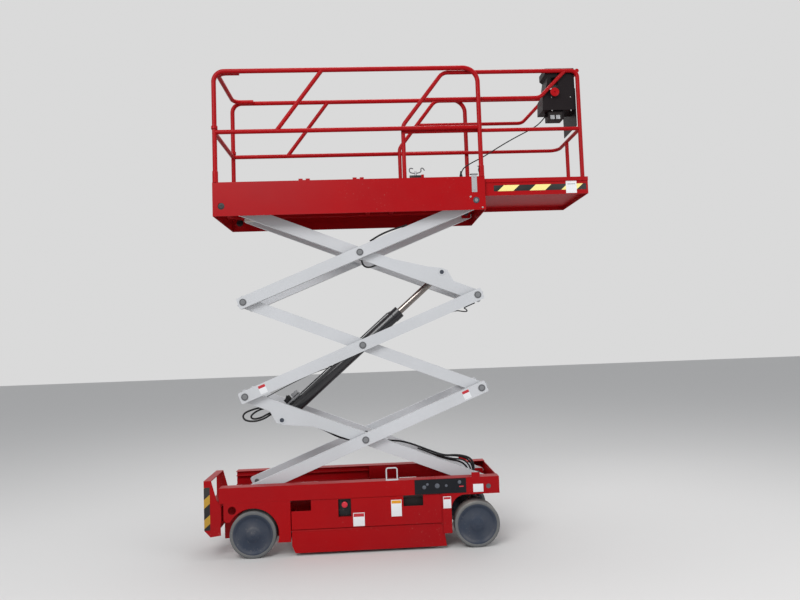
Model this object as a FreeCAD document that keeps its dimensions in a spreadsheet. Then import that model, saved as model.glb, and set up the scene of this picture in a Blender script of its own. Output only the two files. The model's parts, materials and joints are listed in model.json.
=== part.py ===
# Self-propelled scissor lift, raised to about a third of its travel.
# Millimetres, +X to the front (the side of the deck extension), +Z up, the ground at z = 0.
# Every size is a cell of the sheet. Text sizes below are expressions of those cells.
import FreeCAD, Part
import math
import os
import re
import Sketcher

os.makedirs("parts", exist_ok=True)
Vector = FreeCAD.Vector
doc = FreeCAD.newDocument("scissor_lift")
sheet = doc.addObject("Spreadsheet::Sheet", "Sizes")

# Driving sizes: name, value
driving = [
    # running gear; rear is the x of the rear axle
    ("rear", -1283), ("tyre_dia", 381), ("tyre_wide", 127), ("wheels_wide", 810), ("rim_dia", 328),
    ("axle_dia", 40), ("kingpin_dia", 44), ("kingpin_side", 235), ("steer_arm", 120), ("tie_pin_dia", 20),
    ("motor_dia", 110), ("collar_dia", 124), ("king_gap", 59),
    # chassis: side plates, hoods and shelf
    ("body_wide", 800), ("skin", 4), ("plate", 8), ("sheet_thick", 6), ("shelf_thick", 5), ("hood_up", 79),
    ("hood_deep", 126), ("hood_tail", -272), ("nose_over", 198), ("hood_lip", 297), ("frame_side", 234),
    ("frame_drop", 29), ("frame_low", 130), ("frame_in", 16), ("arch_span", 255), ("shelf_z", 207),
    ("shelf_tail", 306), ("shelf_back", 265), ("mid_plate", 900), ("tab_back", 141), ("tab_long", 71),
    ("tab_high", 39),
    # side panels: the arched one and the narrow one
    ("panel_in", 36), ("panel_nose", 311), ("panel_low", 120), ("arch_dia", 430), ("tie_hole_dia", 66),
    ("tie_hole_in", 105), ("tie_hole_drop", 59), ("post_gap", 11), ("post_wide", 75),
    ("post_panel_low", 128), ("brow_dia", 240),
    # trays and guards
    ("tray_tail", 318), ("tray_gap", 33), ("door_over", 10), ("door_gap", 6), ("tray_deep", 141),
    ("hinge_lead", 5.2), ("hinge_rod", 10), ("hand_high", 82), ("hand_long", 162),
    ("hand_back", 315), ("stop_tail", 705), ("stop_long", 106), ("stop_high", 147), ("load_tail", 500),
    ("load_back", 142), ("guard_low", 25), ("guard_over", 3), ("guard_slant", 24),
    # ladder at the tail, to one side
    ("ladder_out", 123), ("ladder_up", 63), ("ladder_low", 187), ("ladder_far", 60), ("tread_thick", 5),
    # ground controls
    ("controls_back", 188), ("controls_long", 433),
    # scissor; the slide stands a little behind the rear axle and the pivot ahead of the front one
    ("slide_lead", 68), ("pivot_lead", 106), ("pivot_up", 61), ("arm_len", 2189), ("rest_tilt", 21.69),
    ("arm_high", 100), ("arm_wide", 48), ("inner_side", 165), ("outer_side", 222), ("arm_end", 46),
    ("arm_chamfer", 8), ("pin_dia", 40), ("head_dia", 60), ("head_thick", 5), ("tie_dia", 70),
    ("tie_end", 130), ("fit", 0.05), ("block_long", 90), ("block_high", 72), ("block_wide", 34),
    ("block_fit", 1), ("track_wall", 6), ("low_track_nose", 960), ("high_track_nose", 945),
    # lift cylinder: eye along and off the arm, bodies and lengths
    ("eye_along", 360), ("eye_off", 88), ("eye_pin", 50), ("eye_dia", 84), ("eye_wide", 76), ("cheek", 9),
    ("barrel_dia", 105), ("bore_dia", 80), ("rod_dia", 60), ("barrel_long", 1394), ("rod_long", 1360),
    ("gland_long", 70), ("pipe_dia", 12), ("pipe_off", 62), ("valve_dia", 34),
    # platform
    ("deck_tail", -281), ("deck_over", 81), ("side_low", 83), ("side_high", 208), ("gutter_low", 30),
    ("floor_low", 68), ("lock_dia", 58), ("lock_in", 72), ("lock_up", 2), ("cross_first", 1010),
    ("cross_second", 1235), ("cross_long", 40), ("post_side", 383), ("tube_dia", 40), ("rail_high", 1177),
    ("mid_high", 646), ("tail_post_in", 24), ("nose_post_in", 23), ("socket_high", 100), ("strut_foot", 267),
    ("strut_head", 672), ("hoop_back", 210), ("toe_first", 447), ("toe_second", 908), ("toe_long", 96),
    ("toe_high", 16),
    # deck extension
    ("ext_overlap", 705), ("ext_reach", 913), ("ext_side", 370), ("ext_low", 42), ("ext_high", 190),
    ("ext_rail_side", 340), ("ext_rail_dia", 36), ("ext_post_in", 35), ("ext_rail_high", 1154),
    ("ext_rake", 382), ("ext_hand_in", 215), ("ext_mid_drop", 16), ("ext_hand_drop", 240),
    ("latch_in", 78), ("latch_long", 80),
    # platform controls and their cable
    ("box_drop", 347), ("box_side", 135), ("panel_drop", 145), ("panel_high", 340), ("plug_back", 270),
    ("plug_drop", 23), ("cord_dia", 10), ("gland_back", 197), ("gland_side", 349), ("gland_high", 40),
]
for row, (name, value) in enumerate(driving, 1):
    sheet.set(f"A{row}", name)
    sheet.set(f"B{row}", str(value))
    sheet.setAlias(f"B{row}", name)

# Sizes that follow from the driving ones
derived = [
    ("half_body", "body_wide/2"), ("inside", "half_body - skin"), ("tray_hinge_side", "inside"),
    ("half_tyre", "tyre_wide/2"),
    ("wheel_mid", "(wheels_wide - tyre_wide)/2"), ("axle_z", "tyre_dia/2"),
    # arms, and the places along the chassis that they set
    ("rise", "arm_len*sin(rest_tilt)"), ("run", "arm_len*cos(rest_tilt)"), ("pivot_x", "run - slide_lead"),
    ("wheelbase", "pivot_x - pivot_lead"), ("front", "rear + wheelbase"), ("hinge_x", "rear + pivot_x"),
    ("slide_x", "hinge_x - run"), ("half_pin", "pin_dia/2 + fit"), ("inner_out", "inner_side + arm_wide"),
    ("outer_out", "outer_side + arm_wide"), ("rise_edge", "block_high/2 + block_fit"),
    ("block_in", "outer_out + 12"),
    # heights, from the tyres up
    ("box_low", "tyre_dia + king_gap"), ("pivot_z", "box_low + pivot_up"), ("top_z", "pivot_z + 3*rise"),
    ("hood_top", "pivot_z + hood_up"), ("hood_low", "hood_top - hood_deep"),
    ("frame_top", "hood_low - frame_drop"), ("tray_low", "shelf_z + door_over"),
    ("tray_high", "hood_low - door_gap"), ("hand_low", "tray_high - hand_high"),
    ("stop_low", "tray_high - stop_high"), ("tie_hole_z", "hood_low - tie_hole_drop"),
    ("ladder_high", "hood_top + ladder_up"),
    # chassis along x, from the rear axle
    ("frame_tail", "hood_tail + frame_in"), ("panel_tail", "hood_tail + panel_in"),
    ("tie_hole_x", "hood_tail + tie_hole_in"), ("ladder_tail", "hood_tail - ladder_out"),
    ("hood_nose", "wheelbase + nose_over"), ("shelf_nose", "wheelbase - shelf_back"),
    ("tray_nose", "shelf_nose - tray_gap"), ("tray_hinge", "tray_nose + hinge_lead"),
    ("post_panel_tail", "tray_nose + post_gap"), ("post_panel_nose", "post_panel_tail + post_wide"),
    ("guard_nose", "shelf_nose + guard_over"), ("nose_hand", "tray_nose - hand_back"),
    ("load_nose", "tray_nose - load_back"), ("stop_nose", "stop_tail + stop_long"),
    ("tab_tail", "pivot_x - tab_back"), ("tab_nose", "tab_tail + tab_long"),
    ("controls_nose", "pivot_x - controls_back"), ("controls_tail", "controls_nose - controls_long"),
    # platform along x
    ("deck_nose", "pivot_x + deck_over"), ("lock_x", "deck_tail + lock_in"),
    ("post_tail", "deck_tail + tail_post_in"), ("post_nose", "deck_nose - nose_post_in"),
    ("ext_tail", "deck_nose - ext_overlap"), ("ext_nose", "deck_nose + ext_reach"),
    ("ext_post", "ext_nose - ext_post_in"), ("latch_tail", "ext_tail + latch_in"),
    ("latch_nose", "latch_tail + latch_long"), ("gland_x", "deck_nose - gland_back"),
    ("plug_x", "ext_post - plug_back"), ("box_z", "top_z + ext_rail_high - box_drop"),
]
for row, (name, formula) in enumerate(derived, len(driving) + 1):
    sheet.set(f"A{row}", name)
    sheet.set(f"B{row}", "=" + formula)
    sheet.setAlias(f"B{row}", name)
doc.recompute()

names = {name for name, _ in driving + derived}


def cell(text):
    """The expression with each size named as a cell of the sheet."""
    return re.sub(r"[a-z_]\w*", lambda word: "Sizes." + word[0] if word[0] in names else word[0], str(text))


def num(text):
    """The number that an expression of the sheet's sizes gives."""
    return float(sheet.evalExpression(str(text)))


def bind(obj, **sizes):
    """Bind properties of an object to expressions."""
    for prop, text in sizes.items():
        obj.setExpression(prop.replace("__", "."), cell(text))
    return obj


def at(obj, x=0, y=0, z=0):
    """Bind an object's place."""
    return bind(obj, Placement__Base__x=x, Placement__Base__y=y, Placement__Base__z=z)


def box(name, x, y, z):
    """A block between two values on each axis."""
    obj = doc.addObject("Part::Box", name)
    bind(obj, Length=f"({x[1]})-({x[0]})", Width=f"({y[1]})-({y[0]})", Height=f"({z[1]})-({z[0]})")
    return at(obj, x[0], y[0], z[0])


def rod(name, axis, radius, low, high, first, second):
    """A cylinder along an axis from low to high, its other two coordinates in the order of x, y, z."""
    obj = doc.addObject("Part::Cylinder", name)
    turns = {"x": (Vector(0, 1, 0), 90), "y": (Vector(1, 0, 0), -90), "z": (Vector(0, 0, 1), 0)}
    obj.Placement = FreeCAD.Placement(Vector(), FreeCAD.Rotation(*turns[axis]))
    bind(obj, Radius=radius, Height=f"({high})-({low})")
    places = {"x": (low, first, second), "y": (first, low, second), "z": (first, second, low)}
    return at(obj, *places[axis])


def join(name, *pieces):
    """Pieces welded into one."""
    obj = doc.addObject("Part::MultiFuse", name)
    obj.Shapes = list(pieces)
    obj.Refine = True
    return obj


def group(name, *pieces):
    """Pieces that don't touch, kept as one sub-part."""
    obj = doc.addObject("Part::Compound", name)
    obj.Links = list(pieces)
    return obj


def cut(name, base, *tools):
    """A piece less its holes."""
    obj = doc.addObject("Part::Cut", name)
    obj.Base = base
    obj.Tool = tools[0] if len(tools) == 1 else join(name + "_tools", *tools)
    return obj


def sketch_in(body, role, points, holes=()):
    """A sketch of a closed outline of straight lines, with round holes, every point bound to the sheet."""
    drawing = body.newObject("Sketcher::SketchObject", body.Name + "_outline")
    plane = next(f for f in body.Origin.OriginFeatures if f.Role == role)
    drawing.AttachmentSupport = [(plane, "")]
    drawing.MapMode = "FlatFace"
    spots = [(num(u), num(v)) for u, v in points]
    for here, there in zip(spots, spots[1:] + spots[:1]):
        drawing.addGeometry(Part.LineSegment(Vector(*here, 0), Vector(*there, 0)))
    count = len(spots)
    for i in range(count):
        drawing.addConstraint(Sketcher.Constraint("Coincident", i, 2, (i + 1) % count, 1))
    marks = [(i, 1, u, v) for i, (u, v) in enumerate(points)]
    for u, v, radius in holes:
        ring = drawing.addGeometry(Part.Circle(Vector(num(u), num(v), 0), Vector(0, 0, 1), num(radius)))
        marks.append((ring, 3, u, v))
        wide = drawing.addConstraint(Sketcher.Constraint("Radius", ring, num(radius)))
        drawing.setExpression(f"Constraints[{wide}]", cell(radius))
    for line, end, u, v in marks:
        for kind, text in (("DistanceX", u), ("DistanceY", v)):
            mark = drawing.addConstraint(Sketcher.Constraint(kind, -1, 1, line, end, num(text)))
            drawing.setExpression(f"Constraints[{mark}]", cell(text))
    return drawing


def plate(name, across, points, low, high, holes=()):
    """A plate with its outline in x and z, x and y or y and z, between two values on the third axis."""
    body = doc.addObject("PartDesign::Body", name)
    role = {"y": "XZ_Plane", "z": "XY_Plane", "x": "YZ_Plane"}[across]
    drawing = sketch_in(body, role, points, holes)
    start = f"-({high})" if across == "y" else low
    drawing.setExpression("AttachmentOffset.Base.z", cell(start))
    pad = body.newObject("PartDesign::Pad", name + "_pad")
    pad.Profile = drawing
    bind(pad, Length=f"({high})-({low})")
    drawing.Visibility = False
    return body


def turned(name, role, points):
    """A turned piece about its own X (XZ_Plane) or Y (YZ_Plane) axis: distance along and radius."""
    body = doc.addObject("PartDesign::Body", name)
    drawing = sketch_in(body, role, points)
    turn = body.newObject("PartDesign::Revolution", name + "_turn")
    turn.Profile = drawing
    turn.ReferenceAxis = (drawing, ["H_Axis"])
    turn.Angle = 360
    return body


def bent_tube(points, bends, diameter):
    """A tube along straight runs, each inner corner rounded to its own bend radius."""
    edges = []
    start = points[0]
    for corner, after, bend in zip(points[1:-1], points[2:], bends):
        back = (start - corner).normalize()
        ahead = (after - corner).normalize()
        half = back.getAngle(ahead) / 2
        reach = bend / math.tan(half)
        inward = (back + ahead).normalize()
        middle = corner + inward * (bend / math.sin(half) - bend)
        one, two = corner + back * reach, corner + ahead * reach
        edges.append(Part.LineSegment(start, one).toShape())
        edges.append(Part.Arc(one, middle, two).toShape())
        start = two
    edges.append(Part.LineSegment(start, points[-1]).toShape())
    path = Part.Wire(edges)
    along = (points[1] - points[0]).normalize()
    ring = Part.Wire(Part.Circle(points[0], along, diameter / 2).toShape())
    return path.makePipeShell([ring], True, False)


def shaped(name, shape):
    """A piece whose form is worked out here from the sheet's sizes."""
    obj = doc.addObject("Part::Feature", name)
    obj.Shape = shape
    obj.Placement = FreeCAD.Placement()
    return obj


sides = (("near", -1), ("far", 1))


def span(side, inner, outer):
    """The y range between two distances from the centre plane, on one side."""
    return (f"-({outer})", f"-({inner})") if side < 0 else (f"{inner}", f"{outer}")


nodes = []


def node(obj, label):
    """Name a finished sub-part."""
    obj.Label = label
    nodes.append(obj)
    return obj


# Chassis frame: two long plates, a shelf, bulkheads and the nose lugs, welded
frame_outline = [("rear + frame_tail", "frame_top"), ("rear + frame_tail", "frame_low"),
                 ("rear + arch_span", "frame_low"), ("rear + arch_span + 35", "shelf_z + shelf_thick"),
                 ("rear + shelf_nose", "shelf_z + shelf_thick"), ("rear + shelf_nose", "box_low"),
                 ("rear + hood_nose - 12", "box_low"), ("rear + hood_nose - 12", "box_low + 60"),
                 ("hinge_x + 40", "pivot_z + 46"), ("hinge_x - 40", "pivot_z + 46"),
                 ("hinge_x - 110", "box_low + 30"), ("rear + shelf_nose - 10", "box_low + 30"),
                 ("rear + shelf_nose - 60", "frame_top"),]
frame_pieces = []
for side_name, side in sides:
    long_y = span(side, "frame_side", "frame_side + plate")
    frame_pieces.append(plate(f"long_plate_{side_name}", "y", frame_outline, *long_y,
                              holes=[("hinge_x", "pivot_z", "half_pin")]))
    lug_y = span(side, "inner_side - 20", "inner_side - 20 + plate")
    lug_outline = [("hinge_x - 60", "box_low + 5"), ("hinge_x + 60", "box_low + 5"),
                   ("hinge_x + 45", "pivot_z + 42"), ("hinge_x - 45", "pivot_z + 42")]
    frame_pieces.append(plate(f"inner_lug_{side_name}", "y", lug_outline, *lug_y,
                              holes=[("hinge_x", "pivot_z", "half_pin")]))
    eye_x = ("rear + tray_hinge - 8", "rear + post_panel_tail - 0.3")
    eye_y = span(side, "tray_hinge_side - 16", "tray_hinge_side + hinge_rod/2 + 2")
    for eye_low, eye_high in (("shelf_z", "shelf_z + shelf_thick"), ("tray_high + 1.5", "tray_high + 5.5")):
        frame_pieces.append(box(f"hinge_eye_{side_name}", eye_x, eye_y, (eye_low, eye_high)))
    frame_pieces.append(box(f"hinge_arm_{side_name}", ("rear + tray_hinge + 5", "rear + tray_hinge + 20"),
                            span(side, "tray_hinge_side - 16", "inside - 0.3"),
                            ("tray_high - 8", "tray_high + 5.5")))
    for spot, low in (("rear + shelf_tail - 6", "frame_low"),
                      ("rear + shelf_nose - 15", "shelf_z + shelf_thick")):
        wing_y = span(side, "frame_side + plate", "inside")
        frame_pieces.append(box(f"wing_{side_name}", (spot, f"{spot} + sheet_thick"), wing_y,
                                (low, "frame_top")))
    frame_pieces.append(box(f"hinge_web_{side_name}", ("rear + shelf_nose - 15", "rear + shelf_nose - 9"),
                            span(side, "tray_hinge_side - 40", "inside - 0.3"), ("frame_top", "tray_high")))
tail_x = ("rear + frame_tail - sheet_thick", "rear + frame_tail")
nose_x = ("rear + hood_nose - skin - sheet_thick", "rear + hood_nose - skin")
frame_pieces += [box("shelf", ("rear + shelf_tail", "rear + shelf_nose"), ("-inside + 2", "inside - 2"),
                     ("shelf_z", "shelf_z + shelf_thick")), box("tail_plate", tail_x, ("-inside", "inside"),
                                                                ("frame_low + 170", "frame_top")),
                 box("tail_skirt", tail_x, ("-frame_side - plate", "frame_side + plate"),
                     ("frame_low", "frame_low + 170")),
                 box("nose_floor", ("rear + shelf_nose", "rear + hood_nose - skin"), ("-inside", "inside"),
                     ("box_low", "box_low + sheet_thick")), box("nose_plate", nose_x, ("-inside", "inside"),
                                                                ("box_low", "hood_top - skin")),
                 box("mid_wall", ("rear + mid_plate", "rear + mid_plate + plate"),
                     ("-frame_side", "frame_side"), ("shelf_z + shelf_thick", "frame_top")),]
hinge_bores = [rod(f"hinge_bore_{name}", "z", "hinge_rod/2 + fit", "shelf_z - 1", "tray_high + 6",
                   "rear + tray_hinge", f"{side}*tray_hinge_side") for name, side in sides]
arm_slots = [box(f"arm_slot_{name}", ("hinge_x - 50", "hinge_x + 55"),
                 span(side, "inner_side - 7", "inner_out + 6"),
                 ("box_low - 1", "box_low + sheet_thick + 1")) for name, side in sides]
node(cut("chassis_frame", join("frame_welded", *frame_pieces), *hinge_bores, *arm_slots), "chassis_frame")

# Hoods: outer skin with a wide turned-in top that roofs the slide tracks; a guard tab stands over the pivot
for side_name, side in sides:
    skin_y = span(side, "inside", "half_body")
    skin_outline = [("rear + hood_tail", "hood_low"), ("rear + hood_nose", "hood_low"),
                    ("rear + hood_nose", "hood_top"), ("rear + tab_nose", "hood_top"),
                    ("rear + tab_nose", "hood_top + tab_high"), ("rear + tab_tail", "hood_top + tab_high"),
                    ("rear + tab_tail", "hood_top"), ("rear + hood_tail", "hood_top")]
    skin = plate(f"skin_{side_name}", "y", skin_outline, *skin_y, holes=[("hinge_x", "pivot_z", "half_pin")])
    lip = box(f"lip_{side_name}", ("rear + hood_tail", "rear + hood_nose"), span(side, "hood_lip", "inside"),
              ("hood_top - skin", "hood_top"))
    node(join(f"hood_{side_name}", skin, lip), f"hood_{side_name}")

# Side panels: the arched plate round each rear wheel with its tie-down hole; ahead of the door a narrow post
# that runs into the strip under the nose, hollowed over the steered wheel
for side_name, side in sides:
    skin_y = span(side, "inside", "half_body")
    past_y = span(side, "inside - 1", "half_body + 1")
    rear_outline = [("rear + panel_tail", "hood_low"), ("rear + panel_tail", 320),
                    ("rear + panel_tail + 19", 299), ("rear - 150", 299), ("rear - 150", "panel_low"),
                    ("rear + panel_nose", "panel_low"), ("rear + panel_nose", "hood_low")]
    rear_panel = plate(f"rear_panel_{side_name}", "y", rear_outline, *skin_y,
                       holes=[("rear + tie_hole_x", "tie_hole_z", "tie_hole_dia/2")])
    arch = rod(f"arch_{side_name}", "y", "arch_dia/2", *past_y, "rear", "axle_z")
    below = box(f"below_{side_name}", ("rear - 300", "rear"), past_y, (0, 299))
    cut_panel = cut(f"arched_{side_name}", rear_panel, arch, below)
    front_outline = [("rear + post_panel_tail", "hood_low"), ("rear + post_panel_tail", "post_panel_low"),
                     ("rear + post_panel_nose", "post_panel_low"),
                     ("rear + post_panel_nose", "box_low - brow_dia/2"),
                     ("rear + post_panel_nose + brow_dia/2", "box_low - brow_dia/2"),
                     ("rear + post_panel_nose + brow_dia/2", "box_low"), ("rear + hood_nose", "box_low"),
                     ("rear + hood_nose", "hood_low")]
    post = plate(f"front_panel_{side_name}", "y", front_outline, *skin_y)
    brow = rod(f"brow_{side_name}", "y", "brow_dia/2", *past_y, "rear + post_panel_nose + brow_dia/2",
               "box_low - brow_dia/2")
    node(group(f"side_panels_{side_name}", cut_panel, cut(f"post_panel_{side_name}", post, brow)),
         f"side_panels_{side_name}")

# Lower slide tracks: channels welded under the hood tops, open to the arms, that the first tail blocks run in
tracks = []
for side_name, side in sides:
    track_x = ("rear + hood_tail + skin", "rear + low_track_nose")
    flange_y = span(side, "block_in + 2", "block_in + block_wide + 3")
    web = box(f"web_{side_name}", track_x,
              span(side, "block_in + block_wide + 3", "block_in + block_wide + 3 + track_wall"),
              ("pivot_z - rise_edge - track_wall", "hood_top - skin"))
    floor = box(f"flange_low_{side_name}", track_x, flange_y,
                ("pivot_z - rise_edge - track_wall", "pivot_z - rise_edge"))
    roof = box(f"flange_high_{side_name}", track_x, flange_y,
               ("pivot_z + rise_edge", "pivot_z + rise_edge + track_wall"))
    tracks.append(join(f"low_track_{side_name}", web, floor, roof))
node(group("lower_tracks", *tracks), "lower_tracks")

# Front axle beam under the nose floor, bored for the kingpins
beam = box("beam_block", ("front - 55", "front + 55"), ("-kingpin_side - 60", "kingpin_side + 60"),
           ("box_low - 27", "box_low"))
bores = [rod(f"king_bore_{name}", "z", "kingpin_dia/2 + fit", "box_low - 28", "box_low + 1", "front",
             f"{side}*kingpin_side") for name, side in sides]
node(cut("front_axle_beam", beam, *bores), "front_axle_beam")

# Pins that join the first inner arms to the chassis, out to the hood skin
chassis_pins = [rod(f"chassis_pin_{name}", "y", "pin_dia/2", *span(side, "inner_side - 24", "half_body - 1"),
                    "hinge_x", "pivot_z") for name, side in sides]
node(group("chassis_pivot_pins", *chassis_pins), "chassis_pivot_pins")

# Rear stub axles with their collars
stubs = []
for side_name, side in sides:
    axle = rod(f"stub_{side_name}", "y", "axle_dia/2", *span(side, "frame_side + plate", "half_body - 6"),
               "rear", "axle_z")
    collar = rod(f"stub_collar_{side_name}", "y", "collar_dia/2",
                 *span(side, "frame_side + plate", "wheels_wide/2 - tyre_wide - 7"), "rear", "axle_z")
    stubs.append(join(f"stub_axle_{side_name}", axle, collar))
node(group("rear_stub_axles", *stubs), "rear_stub_axles")

# Steering knuckles: upright plate, kingpin, spindle, drive motor and steering arm
for side_name, side in sides:
    inner_face = "wheels_wide/2 - tyre_wide - 8"
    upright = box(f"upright_{side_name}", ("front - 55", "front + 55"),
                  span(side, "kingpin_side - 35", inner_face), ("axle_z - 60", "tyre_dia - 3"))
    spindle = rod(f"spindle_{side_name}", "y", "axle_dia/2", *span(side, inner_face, "half_body - 6"),
                  "front", "axle_z")
    motor = rod(f"motor_{side_name}", "y", "motor_dia/2",
                *span(side, "kingpin_side - 115", "kingpin_side - 35"), "front", "axle_z")
    kingpin = rod(f"kingpin_{side_name}", "z", "kingpin_dia/2", "tyre_dia - 3", "box_low - 1", "front",
                  f"{side}*kingpin_side")
    arm = box(f"steer_arm_{side_name}", ("front - steer_arm - 22", "front + 10"),
              (f"{side}*kingpin_side - 22", f"{side}*kingpin_side + 22"), ("box_low - 41", "box_low - 31"))
    arm_bore = rod(f"arm_bore_{side_name}", "z", "tie_pin_dia/2 + fit", "box_low - 42", "box_low - 30",
                   "front - steer_arm", f"{side}*kingpin_side")
    knuckle = join(f"knuckle_solid_{side_name}", upright, spindle, motor, kingpin, arm)
    node(cut(f"steering_knuckle_{side_name}", knuckle, arm_bore), f"steering_knuckle_{side_name}")

# Tie rod: a flat bar under the two steering arms, its pins standing up in their bores
bar = box("tie_bar", ("front - steer_arm - 16", "front - steer_arm + 16"),
          ("-kingpin_side - 20", "kingpin_side + 20"), ("box_low - 53", "box_low - 43"))
tie_pins = [rod(f"tie_pin_{name}", "z", "tie_pin_dia/2", "box_low - 43", "box_low - 31", "front - steer_arm",
                f"{side}*kingpin_side") for name, side in sides]
node(join("tie_rod", bar, *tie_pins), "tie_rod")

# Wheels: solid tyre and dished disc with its hub, turned about the axle
for end_name, x in (("rear", "rear"), ("front", "front")):
    for side_name, side in sides:
        tyre_outline = [("-half_tyre", "rim_dia/2"), ("-half_tyre", "tyre_dia/2 - 9"),
                        ("-half_tyre + 9", "tyre_dia/2"), ("half_tyre - 9", "tyre_dia/2"),
                        ("half_tyre", "tyre_dia/2 - 9"), ("half_tyre", "rim_dia/2")]
        tyre = turned(f"tyre_{end_name}_{side_name}", "YZ_Plane", tyre_outline)
        disc_outline = [(f"{side}*(half_tyre - 22)", "axle_dia/2 + fit"),
                        (f"{side}*(half_tyre - 8)", "axle_dia/2 + fit"), (f"{side}*(half_tyre - 8)", 46),
                        (f"{side}*(half_tyre - 14)", 58), (f"{side}*(half_tyre - 14)", "rim_dia/2 - 22"),
                        (f"{side}*(half_tyre - 4)", "rim_dia/2 - 14"),
                        (f"{side}*(half_tyre - 4)", "rim_dia/2"), (f"-{side}*(half_tyre - 4)", "rim_dia/2"),
                        (f"-{side}*(half_tyre - 4)", "rim_dia/2 - 12"),
                        (f"{side}*(half_tyre - 36)", "rim_dia/2 - 26"),
                        (f"{side}*(half_tyre - 26)", "rim_dia/2 - 36"), (f"{side}*(half_tyre - 26)", 66),
                        (f"-{side}*(half_tyre - 12)", 52),
                        (f"-{side}*(half_tyre - 12)", "axle_dia/2 + fit")]
        disc = turned(f"disc_{end_name}_{side_name}", "YZ_Plane", disc_outline)
        for piece, label in ((tyre, "tyre"), (disc, "wheel_disc")):
            at(piece, x, f"{side}*wheel_mid", "axle_z")
            node(piece, f"{label}_{end_name}_{side_name}")

# Swing-out trays: door with its hand holes, floor, ends and inner wall, and the block that each carries
for side_name, side in sides:
    skin_y = span(side, "inside", "half_body")
    door_outline = [("rear + tray_tail", "tray_low"), ("rear + tray_nose", "tray_low"),
                    ("rear + tray_nose", "tray_high"), ("rear + nose_hand + hand_long + 3", "tray_high"),
                    ("rear + nose_hand + hand_long + 3", "hand_low"), ("rear + nose_hand", "hand_low"),
                    ("rear + nose_hand", "tray_high")]
    if side < 0:
        door_outline += [("rear + stop_nose", "tray_high"), ("rear + stop_nose", "stop_low"),
                         ("rear + stop_tail", "stop_low"), ("rear + stop_tail", "tray_high")]
    door_outline += [("rear + tray_tail + hand_long", "tray_high"),
                     ("rear + tray_tail + hand_long", "hand_low"), ("rear + tray_tail", "hand_low")]
    door = plate(f"door_{side_name}", "y", door_outline, *skin_y)
    deep = span(side, "half_body - tray_deep - skin", "inside")
    tray_x = ("rear + tray_tail + 27", "rear + tray_nose - 20")
    tray_floor = box(f"tray_floor_{side_name}", tray_x, deep, ("tray_low + 5", "tray_low + 5 + shelf_thick"))
    inner_wall = box(f"tray_wall_{side_name}", tray_x,
                     span(side, "half_body - tray_deep - skin", "half_body - tray_deep"),
                     ("tray_low + 5", "tray_low + 90"))
    ends = [box(f"tray_end_{side_name}", (spot, f"{spot} + skin"), deep, ("tray_low + 5", "tray_low + 140"))
            for spot in ("rear + tray_tail + 27", "rear + tray_nose - 24")]
    hinge = rod(f"tray_hinge_{side_name}", "z", "hinge_rod/2", "shelf_z", "tray_high + 5.5",
                "rear + tray_hinge", f"{side}*tray_hinge_side")
    strap = box(f"hinge_strap_{side_name}", ("rear + tray_nose - 24", "rear + tray_hinge"),
                span(side, "tray_hinge_side - 4", "inside"), ("tray_low + 5", "tray_low + 140"))
    node(door, f"tray_door_{side_name}")
    tray_pieces = [tray_floor, inner_wall, hinge, strap] + ends
    if side < 0:
        # pocket behind the stop button: back plate and the two cheeks that hold it
        pocket_y = ("-inside", "-inside + 30")
        pocket_top = "tray_high - 12"
        tray_pieces.append(box("stop_back", ("rear + stop_tail - skin", "rear + stop_nose + skin"),
                               ("-inside + 27", "-inside + 30"), ("stop_low - skin", pocket_top)))
        for spot in ("rear + stop_tail - skin", "rear + stop_nose"):
            tray_pieces.append(box("stop_cheek", (spot, f"{spot} + skin"), pocket_y,
                                   ("stop_low - skin", pocket_top)))
        tray_pieces.append(box("stop_sill", ("rear + stop_tail", "rear + stop_nose"), pocket_y,
                               ("stop_low - skin", "stop_low")))
        tray_pieces.append(rod("stop_stem", "y", 12, "-inside + 12", "-inside + 28",
                               "rear + (stop_tail + stop_nose)/2", "stop_low + 99"))
        tray_pieces.append(rod("stop_head", "y", 24, "-inside", "-inside + 13",
                               "rear + (stop_tail + stop_nose)/2", "stop_low + 99"))
    node(join(f"swing_tray_{side_name}", *tray_pieces), f"swing_tray_{side_name}")
    load = box(f"tray_load_{side_name}", ("rear + load_tail", "rear + load_nose"),
               span(side, "half_body - tray_deep + 4", "inside - 33"),
               ("tray_low + 5 + shelf_thick", "frame_top"))
    node(load, "hydraulic_unit" if side < 0 else "battery_pack")

# Pothole guards: plates hung on a rod under the shelf
for side_name, side in sides:
    guard_top = "shelf_z - plate"
    guard_outline = [("rear + tray_tail + 27", "guard_low"), ("rear + guard_nose", "guard_low"),
                     ("rear + guard_nose - guard_slant", guard_top), ("rear + tray_tail", guard_top),
                     ("rear + tray_tail", "guard_low + 60")]
    leaf = plate(f"guard_leaf_{side_name}", "y", guard_outline, *span(side, "inside - 8", "inside - 3"))
    hinge = rod(f"guard_hinge_{side_name}", "x", 7, "rear + tray_tail", "rear + guard_nose - guard_slant",
                f"{side}*(inside - 8)", "shelf_z - 7.3")
    node(join(f"pothole_guard_{side_name}", leaf, hinge), f"pothole_guard_{side_name}")

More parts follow.
